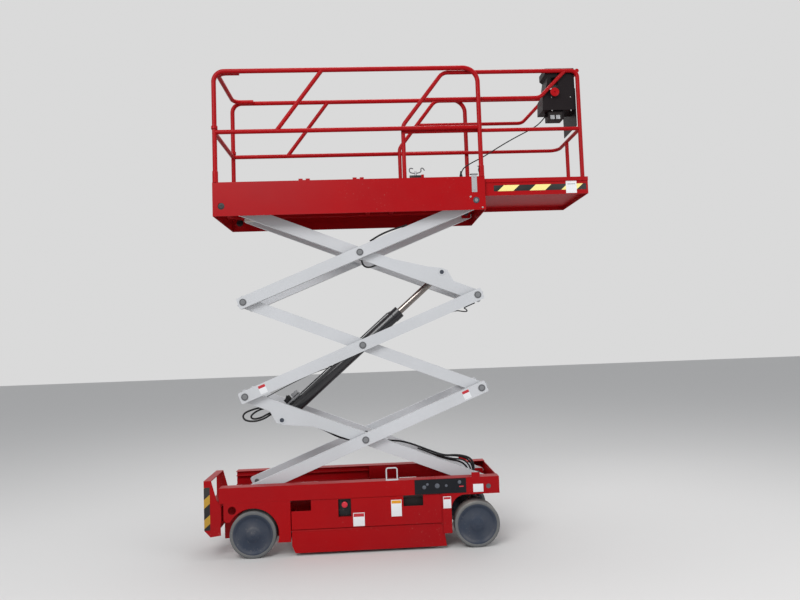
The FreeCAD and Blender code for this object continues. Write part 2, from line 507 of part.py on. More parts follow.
# Entry ladder: two stringers, treads and the top plate
ladder_back = "rear + frame_tail - sheet_thick"
stringer_outline = [("rear + ladder_tail", "ladder_high"), ("rear + ladder_tail", "ladder_low + 54"),
                    ("rear + ladder_tail + 49", "ladder_low"), (ladder_back, "ladder_low + 10"),
                    (ladder_back, "hood_low"), (f"{ladder_back} - 30", "hood_low + 26"),
                    ("rear + ladder_tail + 60", "ladder_high")]
ladder_y = ("-half_body + 6 + sheet_thick", "ladder_far - sheet_thick")
near_stringer = plate("stringer_near", "y", stringer_outline, "-half_body + 6", ladder_y[0])
far_stringer = plate("stringer_far", "y", stringer_outline, ladder_y[1], "ladder_far")
treads = [box(f"tread_{number}", ("rear + ladder_tail + 12", f"{ladder_back} - {gap}"), ladder_y,
              (f"ladder_low + {up}", f"ladder_low + {up} + tread_thick"))
          for number, (up, gap) in enumerate(((63, 6), (253, 38)))]
top_tread = box("top_tread", ("rear + ladder_tail", "rear + ladder_tail + 60"), ladder_y,
                ("ladder_high - sheet_thick", "ladder_high"))
node(join("entry_ladder", near_stringer, far_stringer, top_tread, *treads), "entry_ladder")

# Ground control panel on the near hood
node(box("ground_controls", ("rear + controls_tail", "rear + controls_nose"),
         ("-half_body - 3", "-half_body"), ("hood_low + 2", "hood_top - 3")), "ground_controls")

# Scissor arms, modelled level about their middle and then tilted: inner pairs fall to the front,
# outer pairs rise
half_len = "arm_len/2"
arm_tip, arm_edge = f"({half_len} + arm_end)", "(arm_high/2)"
arm_outline = [(f"-{arm_tip}", f"-{arm_edge} + arm_chamfer"), (f"-{arm_tip} + arm_chamfer", f"-{arm_edge}"),
               (f"{arm_tip} - arm_chamfer", f"-{arm_edge}"), (arm_tip, f"-{arm_edge} + arm_chamfer"),
               (arm_tip, f"{arm_edge} - arm_chamfer"), (f"{arm_tip} - arm_chamfer", arm_edge),
               (f"-{arm_tip} + arm_chamfer", arm_edge), (f"-{arm_tip}", f"{arm_edge} - arm_chamfer")]
arm_holes = [(f"-{half_len}", 0, "half_pin"), (0, 0, "half_pin"), (half_len, 0, "half_pin")]


def tilted(obj, level, turn):
    """Put an arm at the middle of its level, turned about Y."""
    obj.Placement = FreeCAD.Placement(Vector(), FreeCAD.Rotation(Vector(0, 1, 0), turn * 10))
    at(obj, "hinge_x - run/2", 0, f"pivot_z + {level}*rise - rise/2")
    return bind(obj, Placement__Rotation__Angle=f"{turn}*rest_tilt")


# Cross tubes of the inner pairs, by level: distance from the middle and height off the middle line
ties = {1: ((f"{half_len} - tie_end", 0), (f"{half_len} - 914", 0)),
        2: ((f"{half_len} - tie_end", 0), (f"-{half_len} + tie_end", 0)),
        3: ((f"{half_len} - tie_end", 0), (f"{half_len} - 966", 22))}
# Brackets of the lift cylinder: level, which end and edge of the arm, and where the plate runs out
brackets = {1: (-1, "eye_pin/2 + 10", 345), 3: (1, "eye_pin/2 + 9", 600)}
# Pins of the outer pairs: place along the arm and the levels where one shaft goes right across
pin_rows = ((f"-{half_len}", (3,)), ("0", ()), (half_len, (1, 2)))

for level in (1, 2, 3):
    beams = [plate(f"inner_beam_{level}_{name}", "y", arm_outline, *span(side, "inner_side", "inner_out"),
                   holes=arm_holes) for name, side in sides]
    for spot, up in ties[level]:
        beams.append(rod(f"tie_{level}", "y", "tie_dia/2", "-inner_side", "inner_side", spot, up))
    if level in brackets:
        way, around, taper = brackets[level]
        sign = "+" if way < 0 else "-"
        eye_spot = f"{way}*({half_len} - eye_along)"
        bracket_outline = [("-150", "(arm_high/2 - 20)"), ("-40", f"(eye_off + {around})"),
                           ("18", f"(eye_off + {around})"), ("127", "(eye_off + 5)"),
                           (taper, "(arm_high/2 - 20)")]
        bracket = [(f"{eye_spot} {sign} ({along})", f"{way}*{off}") for along, off in bracket_outline]
        for name, side in sides:
            for number, low in enumerate(("inner_side", "inner_out - cheek")):
                beams.append(plate(f"bracket_{level}_{name}_{number}", "y", bracket,
                                   *span(side, low, f"{low} + cheek"),
                                   holes=[(eye_spot, f"{way}*eye_off", "eye_pin/2 + fit")]))
    arms = join(f"inner_arms_{level}", *beams)
    node(tilted(arms, level, 1), f"inner_arms_{level}")

    outer = [plate(f"outer_beam_{level}_{name}", "y", arm_outline, *span(side, "outer_side", "outer_out"),
                   holes=arm_holes) for name, side in sides]
    node(tilted(group(f"outer_arms_{level}", *outer), level, -1), f"outer_arms_{level}")

    pins = []
    for spot, crossed in pin_rows:
        if spot == half_len and level == 3:
            continue
        first_tail = level == 1 and spot == f"-{half_len}"
        reach = "block_in + block_wide - 2" if first_tail else "outer_out"
        stub_in = "outer_side - 4" if first_tail else "inner_side - 8"
        heads = [rod(f"head_{level}", "y", "head_dia/2", *span(side, "outer_out", "outer_out + head_thick"),
                     spot, 0) for _, side in sides]
        if level in crossed:
            shaft = rod(f"shaft_{level}", "y", "pin_dia/2", f"-({reach})", reach, spot, 0)
            pins.append(join(f"pin_{level}", shaft, *heads))
        else:
            for (name, side), head in zip(sides, heads):
                stub = rod(f"stub_pin_{level}_{name}", "y", "pin_dia/2", *span(side, stub_in, reach), spot, 0)
                pins.append(join(f"pin_{level}_{name}", stub, head))
    node(tilted(group(f"arm_pins_{level}", *pins), level, -1), f"arm_pins_{level}")

# Pins of the cylinder's eyes: one right across in the first brackets, one from each side in the third
eye_head = ("inner_out", "inner_out + 3.5")
foot_pin = [rod("foot_shaft", "y", "eye_pin/2", "-inner_out", "inner_out", f"-({half_len} - eye_along)",
                "-eye_off")]
foot_pin += [rod("foot_head", "y", "eye_pin/2 + 5", *span(side, *eye_head), f"-({half_len} - eye_along)",
                 "-eye_off") for _, side in sides]
node(tilted(join("cylinder_foot_pin", *foot_pin), 1, 1), "cylinder_foot_pin")
head_pins = []
for name, side in sides:
    shaft = rod(f"head_shaft_{name}", "y", "eye_pin/2", *span(side, "eye_wide/2 + 3", "inner_out"),
                f"{half_len} - eye_along", "eye_off")
    disc = rod(f"head_disc_{name}", "y", "eye_pin/2 + 5", *span(side, *eye_head), f"{half_len} - eye_along",
               "eye_off")
    head_pins.append(join(f"head_pin_{name}", shaft, disc))
node(tilted(group("cylinder_head_pins", *head_pins), 3, 1), "cylinder_head_pins")

# Stub pins of the top slide blocks, in the third inner arms
top_pins = [rod(f"slide_pin_{name}", "y", "pin_dia/2", *span(side, "inner_side - 38", "inner_out - 1"),
                f"-{half_len}", 0) for name, side in sides]
node(tilted(group("top_slide_pins", *top_pins), 3, 1), "top_slide_pins")

# Slide blocks that stay level in their tracks
for label, height, low, high in (("lower_slide_blocks", "pivot_z", "block_in", "block_in + block_wide"),
                                 ("upper_slide_blocks", "top_z", "inner_side - 39", "inner_side - 4")):
    blocks = []
    for name, side in sides:
        solid = box(f"{label}_{name}_solid", ("slide_x - block_long/2", "slide_x + block_long/2"),
                    span(side, low, high), (f"{height} - block_high/2", f"{height} + block_high/2"))
        hole = rod(f"{label}_{name}_hole", "y", "half_pin", *span(side, f"{low} - 1", f"{high} + 1"),
                   "slide_x", height)
        blocks.append(cut(f"{label}_{name}", solid, hole))
    node(group(label, *blocks), label)

# Lift cylinder along its rest line between the eye pins
low_x = "(slide_x + eye_along*cos(rest_tilt) - eye_off*sin(rest_tilt))"
low_z = "(pivot_z + rise - eye_along*sin(rest_tilt) - eye_off*cos(rest_tilt))"
high_x = "(hinge_x - eye_along*cos(rest_tilt) + eye_off*sin(rest_tilt))"
high_z = "(pivot_z + 2*rise + eye_along*sin(rest_tilt) + eye_off*cos(rest_tilt))"
slope = f"atan(({high_z} - {low_z})/({high_x} - {low_x}))"


def along_cylinder(obj, x, z):
    """Lay a piece modelled along X on the cylinder's line, its own origin at a point."""
    obj.Placement = FreeCAD.Placement(Vector(), FreeCAD.Rotation(Vector(0, 1, 0), -10))
    at(obj, x, 0, z)
    return bind(obj, Placement__Rotation__Angle=f"-{slope}")


barrel = turned("barrel_tube", "XZ_Plane",
                [(60, "0"), ("barrel_long", 0), ("barrel_long", "barrel_dia/2 + 4"),
                 ("barrel_long - gland_long", "barrel_dia/2 + 4"),
                 ("barrel_long - gland_long - 4", "barrel_dia/2"), (72, "barrel_dia/2"),
                 (60, "barrel_dia/2 - 12")])
bore = turned("barrel_bore", "XZ_Plane",
              [(118, 0), ("barrel_long + 1", 0), ("barrel_long + 1", "rod_dia/2 + fit"),
               ("barrel_long - 34", "rod_dia/2 + fit"), ("barrel_long - 34", "bore_dia/2"),
               (118, "bore_dia/2")])
lug = box("barrel_lug", (0, 66), ("-eye_wide/2", "eye_wide/2"), ("-eye_dia/2", "eye_dia/2"))
eye = rod("barrel_eye", "y", "eye_dia/2", "-eye_wide/2", "eye_wide/2", 0, 0)
valve = turned("barrel_valve", "XZ_Plane", [(70, 0), (205, 0), (205, "valve_dia/2"), (70, "valve_dia/2")])
at(valve, 0, 0, "barrel_dia/2 + valve_dia/2 - 1")
coil = box("barrel_coil", (92, 138), (-20, 20),
           ("barrel_dia/2 + valve_dia - 6", "barrel_dia/2 + valve_dia + 32"))
saddle = box("barrel_saddle", (86, 150), (-17, 17), ("barrel_dia/2 - 8", "barrel_dia/2 + valve_dia/2"))
size = {name: num(name) for name in names}
pipe_end = size["barrel_long"] - size["gland_long"] / 2
pipe = shaped("barrel_pipe", bent_tube(
    [Vector(190, 0, size["pipe_off"]), Vector(pipe_end - 60, 0, size["pipe_off"]),
     Vector(pipe_end, 0, size["barrel_dia"] / 2 - 8)], [30], size["pipe_dia"]))
eye_bore = rod("barrel_eye_bore", "y", "eye_pin/2 + fit", "-eye_wide/2 - 1", "eye_wide/2 + 1", 0, 0)
barrel_parts = join("barrel_solid", barrel, lug, eye, saddle, valve, coil, pipe)
barrel_solid = cut("cylinder_barrel", barrel_parts, bore, eye_bore)
node(along_cylinder(barrel_solid, low_x, low_z), "cylinder_barrel")

piston_rod = turned("piston_rod", "XZ_Plane", [
    ("-rod_long", 0), ("-eye_dia/2 + 6", 0), ("-eye_dia/2 + 6", "rod_dia/2"), ("-rod_long + 40", "rod_dia/2"),
    ("-rod_long + 40", "bore_dia/2 - fit"), ("-rod_long", "bore_dia/2 - fit")])
rod_eye = rod("rod_eye", "y", "eye_dia/2", "-eye_wide/2", "eye_wide/2", 0, 0)
rod_bore = rod("rod_eye_bore", "y", "eye_pin/2 + fit", "-eye_wide/2 - 1", "eye_wide/2 + 1", 0, 0)
rod_solid = cut("cylinder_rod", join("rod_solid", piston_rod, rod_eye), rod_bore)
node(along_cylinder(rod_solid, high_x, high_z), "cylinder_rod")

# Platform deck: one bent section of sides, gutters and floor, with end plates, cross members and pivot lugs
half_section = [("-half_body", "top_z - side_low"), ("-inside", "top_z - side_low"),
                ("-inside", "top_z + gutter_low"), ("-outer_out - 12", "top_z + gutter_low"),
                ("-outer_out - 12", "top_z + floor_low")]
inner_half = [("-outer_out - 16", "top_z + floor_low + skin"),
              ("-outer_out - 16", "top_z + gutter_low + skin"), ("-inside", "top_z + gutter_low + skin"),
              ("-inside", "top_z + side_high - skin"), ("-ext_side + 5", "top_z + side_high - skin"),
              ("-ext_side + 5", "top_z + side_high"), ("-half_body", "top_z + side_high")]


def flipped(points):
    """An outline's points on the other side, in the opposite order."""
    return [(f"-({u})", v) for u, v in reversed(points)]


deck = plate("deck_section", "x", half_section + flipped(half_section) + flipped(inner_half) + inner_half,
             "rear + deck_tail", "rear + deck_nose")
deck_pieces = [deck]
for name, spot in (("tail", "rear + deck_tail"), ("nose", "rear + deck_nose - skin")):
    deck_pieces.append(box(f"deck_{name}_plate", (spot, f"{spot} + skin"), ("-inside", "inside"),
                           ("top_z - side_low", "top_z + gutter_low")))
for number, spot in enumerate(("cross_first", "cross_second")):
    deck_pieces.append(box(f"cross_member_{number}", (f"rear + {spot}", f"rear + {spot} + cross_long"),
                           ("-outer_out - 12", "outer_out + 12"),
                           ("top_z + gutter_low", "top_z + floor_low")))
for name, side in sides:
    lug_outline = [("hinge_x - 55", "top_z + floor_low"), ("hinge_x - 40", "top_z - 42"),
                   ("hinge_x + 40", "top_z - 42"), ("hinge_x + 55", "top_z + floor_low")]
    for number, low in enumerate(("outer_side - 6 - plate", "outer_out + 12")):
        deck_pieces.append(plate(f"deck_lug_{name}_{number}", "y", lug_outline,
                                 *span(side, low, f"{low} + plate"),
                                 holes=[("hinge_x", "top_z", "half_pin")]))
    # toe brackets on the deck's edge, each a foot with an upright at both ends
    for spot in ("toe_first", "toe_second"):
        toe_y = span(side, "inside - 20", "inside")
        deck_pieces.append(box(f"toe_foot_{name}_{spot}", (f"rear + {spot}", f"rear + {spot} + toe_long"),
                               toe_y, ("top_z + side_high", "top_z + side_high + 4")))
        for shift in ("0", "toe_long*0.64"):
            deck_pieces.append(box(f"toe_{name}_{spot}",
                                   (f"rear + {spot} + {shift}", f"rear + {spot} + {shift} + toe_long*0.36"),
                                   toe_y, ("top_z + side_high", "top_z + side_high + toe_high")))
deck_solid = join("deck_welded", *deck_pieces)
side_holes = [rod(f"deck_hole_{name}", "y", "half_pin", *span(side, "inside - 1", "half_body + 1"),
                  "hinge_x", "top_z") for name, side in sides]
side_holes += [rod("deck_lock_hole", "y", "lock_dia/2", "-half_body - 1", "half_body + 1", "rear + lock_x",
                   "top_z + lock_up")]
node(cut("platform_deck", deck_solid, *side_holes), "platform_deck")

deck_pins = []
for name, side in sides:
    shaft = rod(f"deck_shaft_{name}", "y", "pin_dia/2", *span(side, "outer_side - 18", "half_body"),
                "hinge_x", "top_z")
    head = rod(f"deck_head_{name}", "y", "head_dia/2 - 3", *span(side, "half_body", "half_body + 5"),
               "hinge_x", "top_z")
    deck_pins.append(join(f"deck_pin_{name}", shaft, head))
node(group("platform_pivot_pins", *deck_pins), "platform_pivot_pins")

# Upper slide tracks: angles hung under the floor, whose roof rests on the blocks
tracks = []
for name, side in sides:
    track_x = ("rear + deck_tail + skin", "rear + high_track_nose")
    web = box(f"up_web_{name}", track_x, span(side, "inner_side - 43 - track_wall", "inner_side - 43"),
              ("top_z - 10", "top_z + floor_low"))
    roof = box(f"up_high_{name}", track_x, span(side, "inner_side - 43", "inner_side - 3"),
               ("top_z + rise_edge", "top_z + rise_edge + track_wall"))
    tracks.append(join(f"up_track_{name}", web, roof))
node(group("upper_tracks", *tracks), "upper_tracks")

# Wear strips that the extension slides on
strips = [box(f"strip_{name}", ("rear + deck_nose - 1047", "rear + deck_nose - 6"),
              span(side, "outer_out - 20", "outer_out + 10"),
              ("top_z + floor_low + skin", "top_z + floor_low + skin + 4.7")) for name, side in sides]
node(group("wear_strips", *strips), "wear_strips")

# Guard rails of the platform
top = size["top_z"]
rail_z, mid_z, foot_z = top + size["rail_high"], top + size["mid_high"], top + size["side_high"]
tail_x, nose_x = size["rear"] + size["post_tail"], size["rear"] + size["post_nose"]
for name, side in sides:
    y = side * size["post_side"]
    loop = bent_tube([Vector(tail_x, y, foot_z), Vector(tail_x, y, rail_z), Vector(nose_x, y, rail_z),
                      Vector(nose_x, y, foot_z)], [90, 130], size["tube_dia"])
    mid = bent_tube([Vector(tail_x, y, mid_z), Vector(nose_x, y, mid_z)], [], size["tube_dia"] - 2)
    strut = bent_tube([Vector(size["rear"] + size["strut_foot"], y, mid_z),
                         Vector(size["rear"] + size["strut_head"], y, rail_z)], [], size["tube_dia"] - 4)
    sockets = [Part.makeCylinder(size["tube_dia"] / 2 + 4, size["socket_high"], Vector(x, y, foot_z))
               for x in (tail_x, nose_x)]
    node(shaped(f"side_rail_{name}", loop.multiFuse([mid, strut] + sockets).removeSplitter()),
         f"side_rail_{name}")
hoop_y = size["post_side"] - size["tube_dia"] + 0.5 - 0.3
hoop_end = tail_x + size["hoop_back"]
hoop = bent_tube([Vector(hoop_end, -hoop_y, rail_z), Vector(tail_x + 20, -hoop_y, rail_z),
                  Vector(tail_x + 20, hoop_y, rail_z), Vector(hoop_end, hoop_y, rail_z)], [80, 80],
                 size["tube_dia"] - 1)
node(shaped("tail_top_rail", hoop), "tail_top_rail")

# Entry bar: a level tube whose sleeves slide up the tail posts
sleeves = []
ring_z = mid_z + size["tube_dia"] / 2 + 6
for name, side in sides:
    y = side * size["post_side"]
    ring = Part.makeCylinder(size["tube_dia"] / 2 + 7, 26, Vector(tail_x, y, ring_z))
    hole = Part.makeCylinder(size["tube_dia"] / 2 + 0.1, 28, Vector(tail_x, y, ring_z - 1))
    link = Part.makeBox(10, 16, 52, Vector(tail_x - 5, y - side * 28 - 8, ring_z - 26))
    sleeves.append(ring.cut(hole).fuse(link.cut(hole)))
bar = Part.makeCylinder(size["tube_dia"] / 2 - 1, 2 * size["post_side"] - 56,
                        Vector(tail_x, 28 - size["post_side"], mid_z - 4), Vector(0, 1, 0))
node(shaped("entry_bar", bar.multiFuse(sleeves).removeSplitter()), "entry_bar")

# Extension deck: sides, floor, top edge tubes and nose plate
ext_x = ("rear + ext_tail", "rear + ext_nose")
ext_floor_z = "top_z + floor_low + skin + 5"
ext_pieces = [box("ext_floor", ext_x, ("-ext_side + skin", "ext_side - skin"),
                  (ext_floor_z, f"{ext_floor_z} + skin")),
              box("ext_nose_plate", ("rear + ext_nose - skin", "rear + ext_nose"),
                  ("-ext_side + skin", "ext_side - skin"), ("top_z + ext_low", "top_z + ext_high"))]
for name, side in sides:
    ext_pieces.append(box(f"ext_side_{name}", ext_x, span(side, "ext_side - skin", "ext_side"),
                          ("top_z + ext_low", "top_z + ext_high")))
    ext_pieces.append(box(f"ext_edge_{name}", ext_x, span(side, "ext_side - 50", "ext_side + 8"),
                          ("top_z + ext_high - 34", "top_z + ext_high")))
ext_pieces.append(rod("cable_gland", "z", "cord_dia", "top_z + ext_high", "top_z + ext_high + gland_high",
                      "rear + gland_x", "-gland_side"))
ext_pieces.append(box("latch_base", ("rear + latch_tail", "rear + latch_nose"),
                      ("-ext_side + 12", "-ext_side + 46"), ("top_z + ext_high", "top_z + ext_high + 14")))
node(join("extension_deck", *ext_pieces), "extension_deck")

# Extension rails: swept side loops joined across the nose
ry, rz = size["ext_rail_side"], top + size["ext_rail_high"]
ext_foot = top + size["ext_high"]
px, back = size["rear"] + size["ext_post"], size["rear"] + size["ext_tail"] + 17
tube = size["ext_rail_dia"]
pieces = []
mid_e = mid_z - size["ext_mid_drop"]
hand_z = rz - size["ext_hand_drop"]
for name, side in sides:
    y = side * ry
    start = [Vector(back, y, ext_foot), Vector(back, y, mid_z + 40),
             Vector(size["rear"] + size["ext_tail"] + size["ext_rake"], y, rz)]
    if side < 0:
        pieces.append(bent_tube(start + [Vector(px, y, rz), Vector(px, y, ext_foot)], [90, 90, 60], tube))
    else:
        pieces.append(bent_tube(start + [Vector(px, y, rz), Vector(px, -ry, rz)], [90, 90, 70], tube))
    low = [Vector(size["rear"] + size["ext_tail"] + size["ext_hand_in"], y, hand_z),
           Vector(px - 347, y, hand_z), Vector(px - 109, y, rz)]
    pieces.append(bent_tube(low, [90], tube - 3))
    if side < 0:
        pieces.append(bent_tube([Vector(back, y, mid_e), Vector(px, y, mid_e)], [], tube - 3))
    else:
        pieces.append(bent_tube([Vector(back, y, mid_e), Vector(px, y, mid_e), Vector(px, -ry, mid_e)],
                                [90], tube - 3))
pieces.append(bent_tube([Vector(px, 50, ext_foot), Vector(px, 50, mid_e)], [], tube - 1))
# hook plate welded on the near sloping rail
hook_x, hook_z = px - 250, rz - 182
hook_points = [(-12, 4), (26, -42), (66, -26), (62, 38), (16, 46), (-12, 4)]
hook_wire = Part.makePolygon([Vector(hook_x + u, -ry - 3, hook_z + v) for u, v in hook_points])
hook = Part.Face(hook_wire).extrude(Vector(0, 6, 0))
hook_hole = Part.makeCylinder(9, 10, Vector(hook_x + 42, -ry - 5, hook_z - 8), Vector(0, 1, 0))
pieces.append(hook.cut(hook_hole))
node(shaped("extension_rail", pieces[0].multiFuse(pieces[1:]).removeSplitter()), "extension_rail")

# Control cable's way, a slack line from the gland on the extension's edge to the plug under the box;
# each point is its share of the way along x, its y, and its height above the top pivots
gland_top = size["ext_high"] + size["gland_high"]
plug_up = size["box_z"] - top - size["plug_drop"]
cable_points = [(0, -size["gland_side"], gland_top), (0, -size["gland_side"], gland_top + 66),
                (0.11, -343, 348), (0.25, -325, 402), (0.4, -306, 472), (0.545, -288, 540),
                (0.675, -275, 597), (0.805, -262, 650), (0.928, -242, 712), (1, -225, plug_up)]
cable_reach = size["plug_x"] - size["gland_x"]
spots = [Vector(size["rear"] + size["gland_x"] + share * cable_reach, y, top + z) for share, y,
         z in cable_points]

# Platform controls: the black panel that closes the near nose corner, and the control box with its cowl,
# which leaves a hand hole behind its tail guard and stands on a small foot
panel_x = "(rear + ext_post - ext_rail_dia/2 + 1.2)"
node(box("control_panel_plate", (f"{panel_x} - 6", panel_x), ("-ext_rail_side + ext_rail_dia/2 + 1", 50),
         ("box_z - panel_drop", "box_z - panel_drop + panel_high")), "control_panel_plate")
box_nose = f"({panel_x} - 6.3)"
box_y = ("-ext_rail_side + ext_rail_dia/2 + 0.3", "-box_side")
box_outline = [(box_nose, "box_z"), (f"{box_nose} - 296", "box_z"), (f"{box_nose} - 290", "box_z + 125"),
               (f"{box_nose} - 262", "box_z + 170"), (f"{box_nose} - 238", "box_z + 305"),
               (f"{box_nose} - 262", "box_z + 325"), (f"{box_nose} - 262", "box_z + 378"),
               (box_nose, "box_z + 378")]
grip_outline = [(f"{box_nose} - 212", "box_z + 293"), (f"{box_nose} - 234", "box_z + 181"),
                (f"{box_nose} - 150", "box_z + 211"), (f"{box_nose} - 154", "box_z + 297")]
box_body = plate("box_body", "y", box_outline, *box_y)
grip_hole = plate("grip_hole", "y", grip_outline, f"{box_y[0]} - 1", f"{box_y[1]} + 1")
box_foot = box("box_foot", (f"{box_nose} - 235", f"{box_nose} - 100"),
               (f"{box_y[0]} + 25", f"{box_y[1]} - 30"), ("box_z - 69", "box_z"))
plug = shaped("cable_plug", Part.makeCylinder(size["cord_dia"], 45, spots[-1],
                                              (spots[-1] - spots[-2]).normalize()))
node(join("control_box", cut("box_hollowed", box_body, grip_hole), box_foot, plug), "control_box")

# Control cable, round through the points above
bends = []
for before, corner, after in zip(spots, spots[1:], spots[2:]):
    turn = (corner - before).getAngle(after - corner)
    shorter = min((corner - before).Length, (after - corner).Length)
    bends.append(0.45 * shorter / math.tan(turn / 2))
cable = bent_tube(spots, bends, size["cord_dia"])
node(shaped("control_cable", cable), "control_cable")
cable_run = sum((b - a).Length for a, b in zip(spots, spots[1:]))
cable_run -= sum(2 * r * math.tan(t / 2) - r * t for r, t in zip(
    bends, [(b - a).getAngle(c - b) for a, b, c in zip(spots, spots[1:], spots[2:])]))
section = math.pi * size["cord_dia"]**2 / 4
print("control cable: bend radii", [round(r) for r in bends], "mm; length", round(cable_run), "mm; volume",
      round(cable.Volume), "against", round(section * cable_run))

doc.recompute()
for obj in doc.Objects:
    if "Invalid" in obj.State or "Error" in obj.State:
        raise RuntimeError(f"{obj.Name}: {obj.State}")
for piece in nodes:
    if piece.Shape.isNull() or not piece.Shape.isValid():
        raise RuntimeError(f"{piece.Label} has no valid shape")
    piece.Shape.exportStep(f"parts/{piece.Label}.step")
print(len(nodes), "sub-parts,", sum(len(n.Shape.Solids) for n in nodes), "solids")
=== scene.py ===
import json
import math
import bmesh
import bpy
import numpy as np
from mathutils import Matrix, Vector


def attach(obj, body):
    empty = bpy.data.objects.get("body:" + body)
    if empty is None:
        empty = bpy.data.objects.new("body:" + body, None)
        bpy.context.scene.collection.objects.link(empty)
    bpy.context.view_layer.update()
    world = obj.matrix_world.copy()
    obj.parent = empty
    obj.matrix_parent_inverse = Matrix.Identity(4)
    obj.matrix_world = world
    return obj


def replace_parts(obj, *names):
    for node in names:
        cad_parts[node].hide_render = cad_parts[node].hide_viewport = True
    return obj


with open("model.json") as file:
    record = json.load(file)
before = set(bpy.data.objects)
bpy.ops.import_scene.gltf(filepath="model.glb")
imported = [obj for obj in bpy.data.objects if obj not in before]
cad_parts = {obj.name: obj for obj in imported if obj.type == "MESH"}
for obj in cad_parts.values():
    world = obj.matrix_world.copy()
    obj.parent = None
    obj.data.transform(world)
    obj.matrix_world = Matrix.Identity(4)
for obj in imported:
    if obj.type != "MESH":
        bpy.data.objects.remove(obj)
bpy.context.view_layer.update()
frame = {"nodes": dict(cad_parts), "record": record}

# Room: a pale studio floor that takes the machine's shadow, soft overhead panels and an even pale surround.
# The machine stands on the floor by its four tyres; nothing is fixed down.
FLOOR_REACH, FLOOR_Z = 30, 0.0


def plain_material(name, colour, rough):
    """A Principled material with one colour, to which a section adds its own nodes."""
    material = bpy.data.materials.new(name)
    material.use_nodes = True
    shader = material.node_tree.nodes["Principled BSDF"]
    shader.inputs["Base Color"].default_value = (*colour, 1)
    shader.inputs["Roughness"].default_value = rough
    return material


floor_mesh = bpy.data.meshes.new("studio_floor")
corners = [(x * FLOOR_REACH, y * FLOOR_REACH, FLOOR_Z) for x, y in ((-1, -1), (1, -1), (1, 1), (-1, 1))]
floor_mesh.from_pydata(corners, [], [(0, 1, 2, 3)])
floor = bpy.data.objects.new("studio_floor", floor_mesh)
bpy.context.collection.objects.link(floor)
floor_mesh.materials.append(plain_material("studio_floor", (0.62, 0.61, 0.60), 0.75))

world = bpy.data.worlds.new("studio")
bpy.context.scene.world = world
world.use_nodes = True
world_nodes, world_links = world.node_tree.nodes, world.node_tree.links
world_nodes["Background"].inputs["Color"].default_value = (0.93, 0.96, 1.0, 1)
world_nodes["Background"].inputs["Strength"].default_value = 0.55
backdrop = world_nodes.new("ShaderNodeBackground")
backdrop.inputs["Color"].default_value = (0.70, 0.70, 0.70, 1)
sight = world_nodes.new("ShaderNodeLightPath")
seen = world_nodes.new("ShaderNodeMath")
seen.operation = "MAXIMUM"
world_links.new(sight.outputs["Is Camera Ray"], seen.inputs[0])
world_links.new(sight.outputs["Is Glossy Ray"], seen.inputs[1])
either = world_nodes.new("ShaderNodeMixShader")
world_links.new(seen.outputs[0], either.inputs["Fac"])
world_links.new(world_nodes["Background"].outputs[0], either.inputs[1])
world_links.new(backdrop.outputs[0], either.inputs[2])
world_links.new(either.outputs[0], world_nodes["World Output"].inputs["Surface"])


def soft_panel(name, place, aim, size, watts):
    """An area lamp at a place, facing a point."""
    lamp = bpy.data.lights.new(name, "AREA")
    lamp.shape, lamp.size, lamp.size_y, lamp.energy = "RECTANGLE", size[0], size[1], watts
    obj = bpy.data.objects.new(name, lamp)
    obj.location = place
    obj.rotation_euler = (Vector(aim) - Vector(place)).to_track_quat("-Z", "Y").to_euler()
    bpy.context.collection.objects.link(obj)


soft_panel("key_panel", (-3.0, -6.5, 6.5), (0, 0, 1.8), (4.5, 3.5), 420)
soft_panel("fill_panel", (5.5, -4.5, 3.5), (0, 0, 2.0), (3.5, 3.5), 130)
soft_panel("top_panel", (0.5, 0.8, 8.0), (0, 0, 1.5), (5.0, 4.0), 260)

# Camera: where the photographer stood, level with the lower arms and tipped up a little.
# The angles and the focal length come from fitting the wheels, arms and rails to the photograph.
REAR = -1.283  # the rear axle, in metres along X
STAND = Vector((1.0172 + REAR, -5.8855, 1.7548))
YAW, PITCH, ROLL = 0.04747, 0.06042, -0.03522
FOCAL_PIXELS, PICTURE_WIDE = 648.1, 800
eye = bpy.data.cameras.new("photo_camera")
eye.sensor_width = 36
eye.lens = FOCAL_PIXELS / PICTURE_WIDE * eye.sensor_width
camera = bpy.data.objects.new("photo_camera", eye)
aimed = Matrix.Rotation(-YAW, 4, "Z") @ Matrix.Rotation(math.pi / 2 + PITCH, 4, "X")
camera.matrix_world = Matrix.Translation(STAND) @ aimed @ Matrix.Rotation(ROLL, 4, "Z")
bpy.context.collection.objects.link(camera)
bpy.context.scene.camera = camera
bpy.context.scene.view_settings.view_transform = "Standard"

# Chassis: folded and welded sheet steel, open between the hoods so that the arms fold down into it.
# It is sprayed red after welding, and site use leaves thin dust, faded patches and chips down to primer.
# A strip of the same sheet closes each hood inside, level with the tracks that the slide blocks run in.

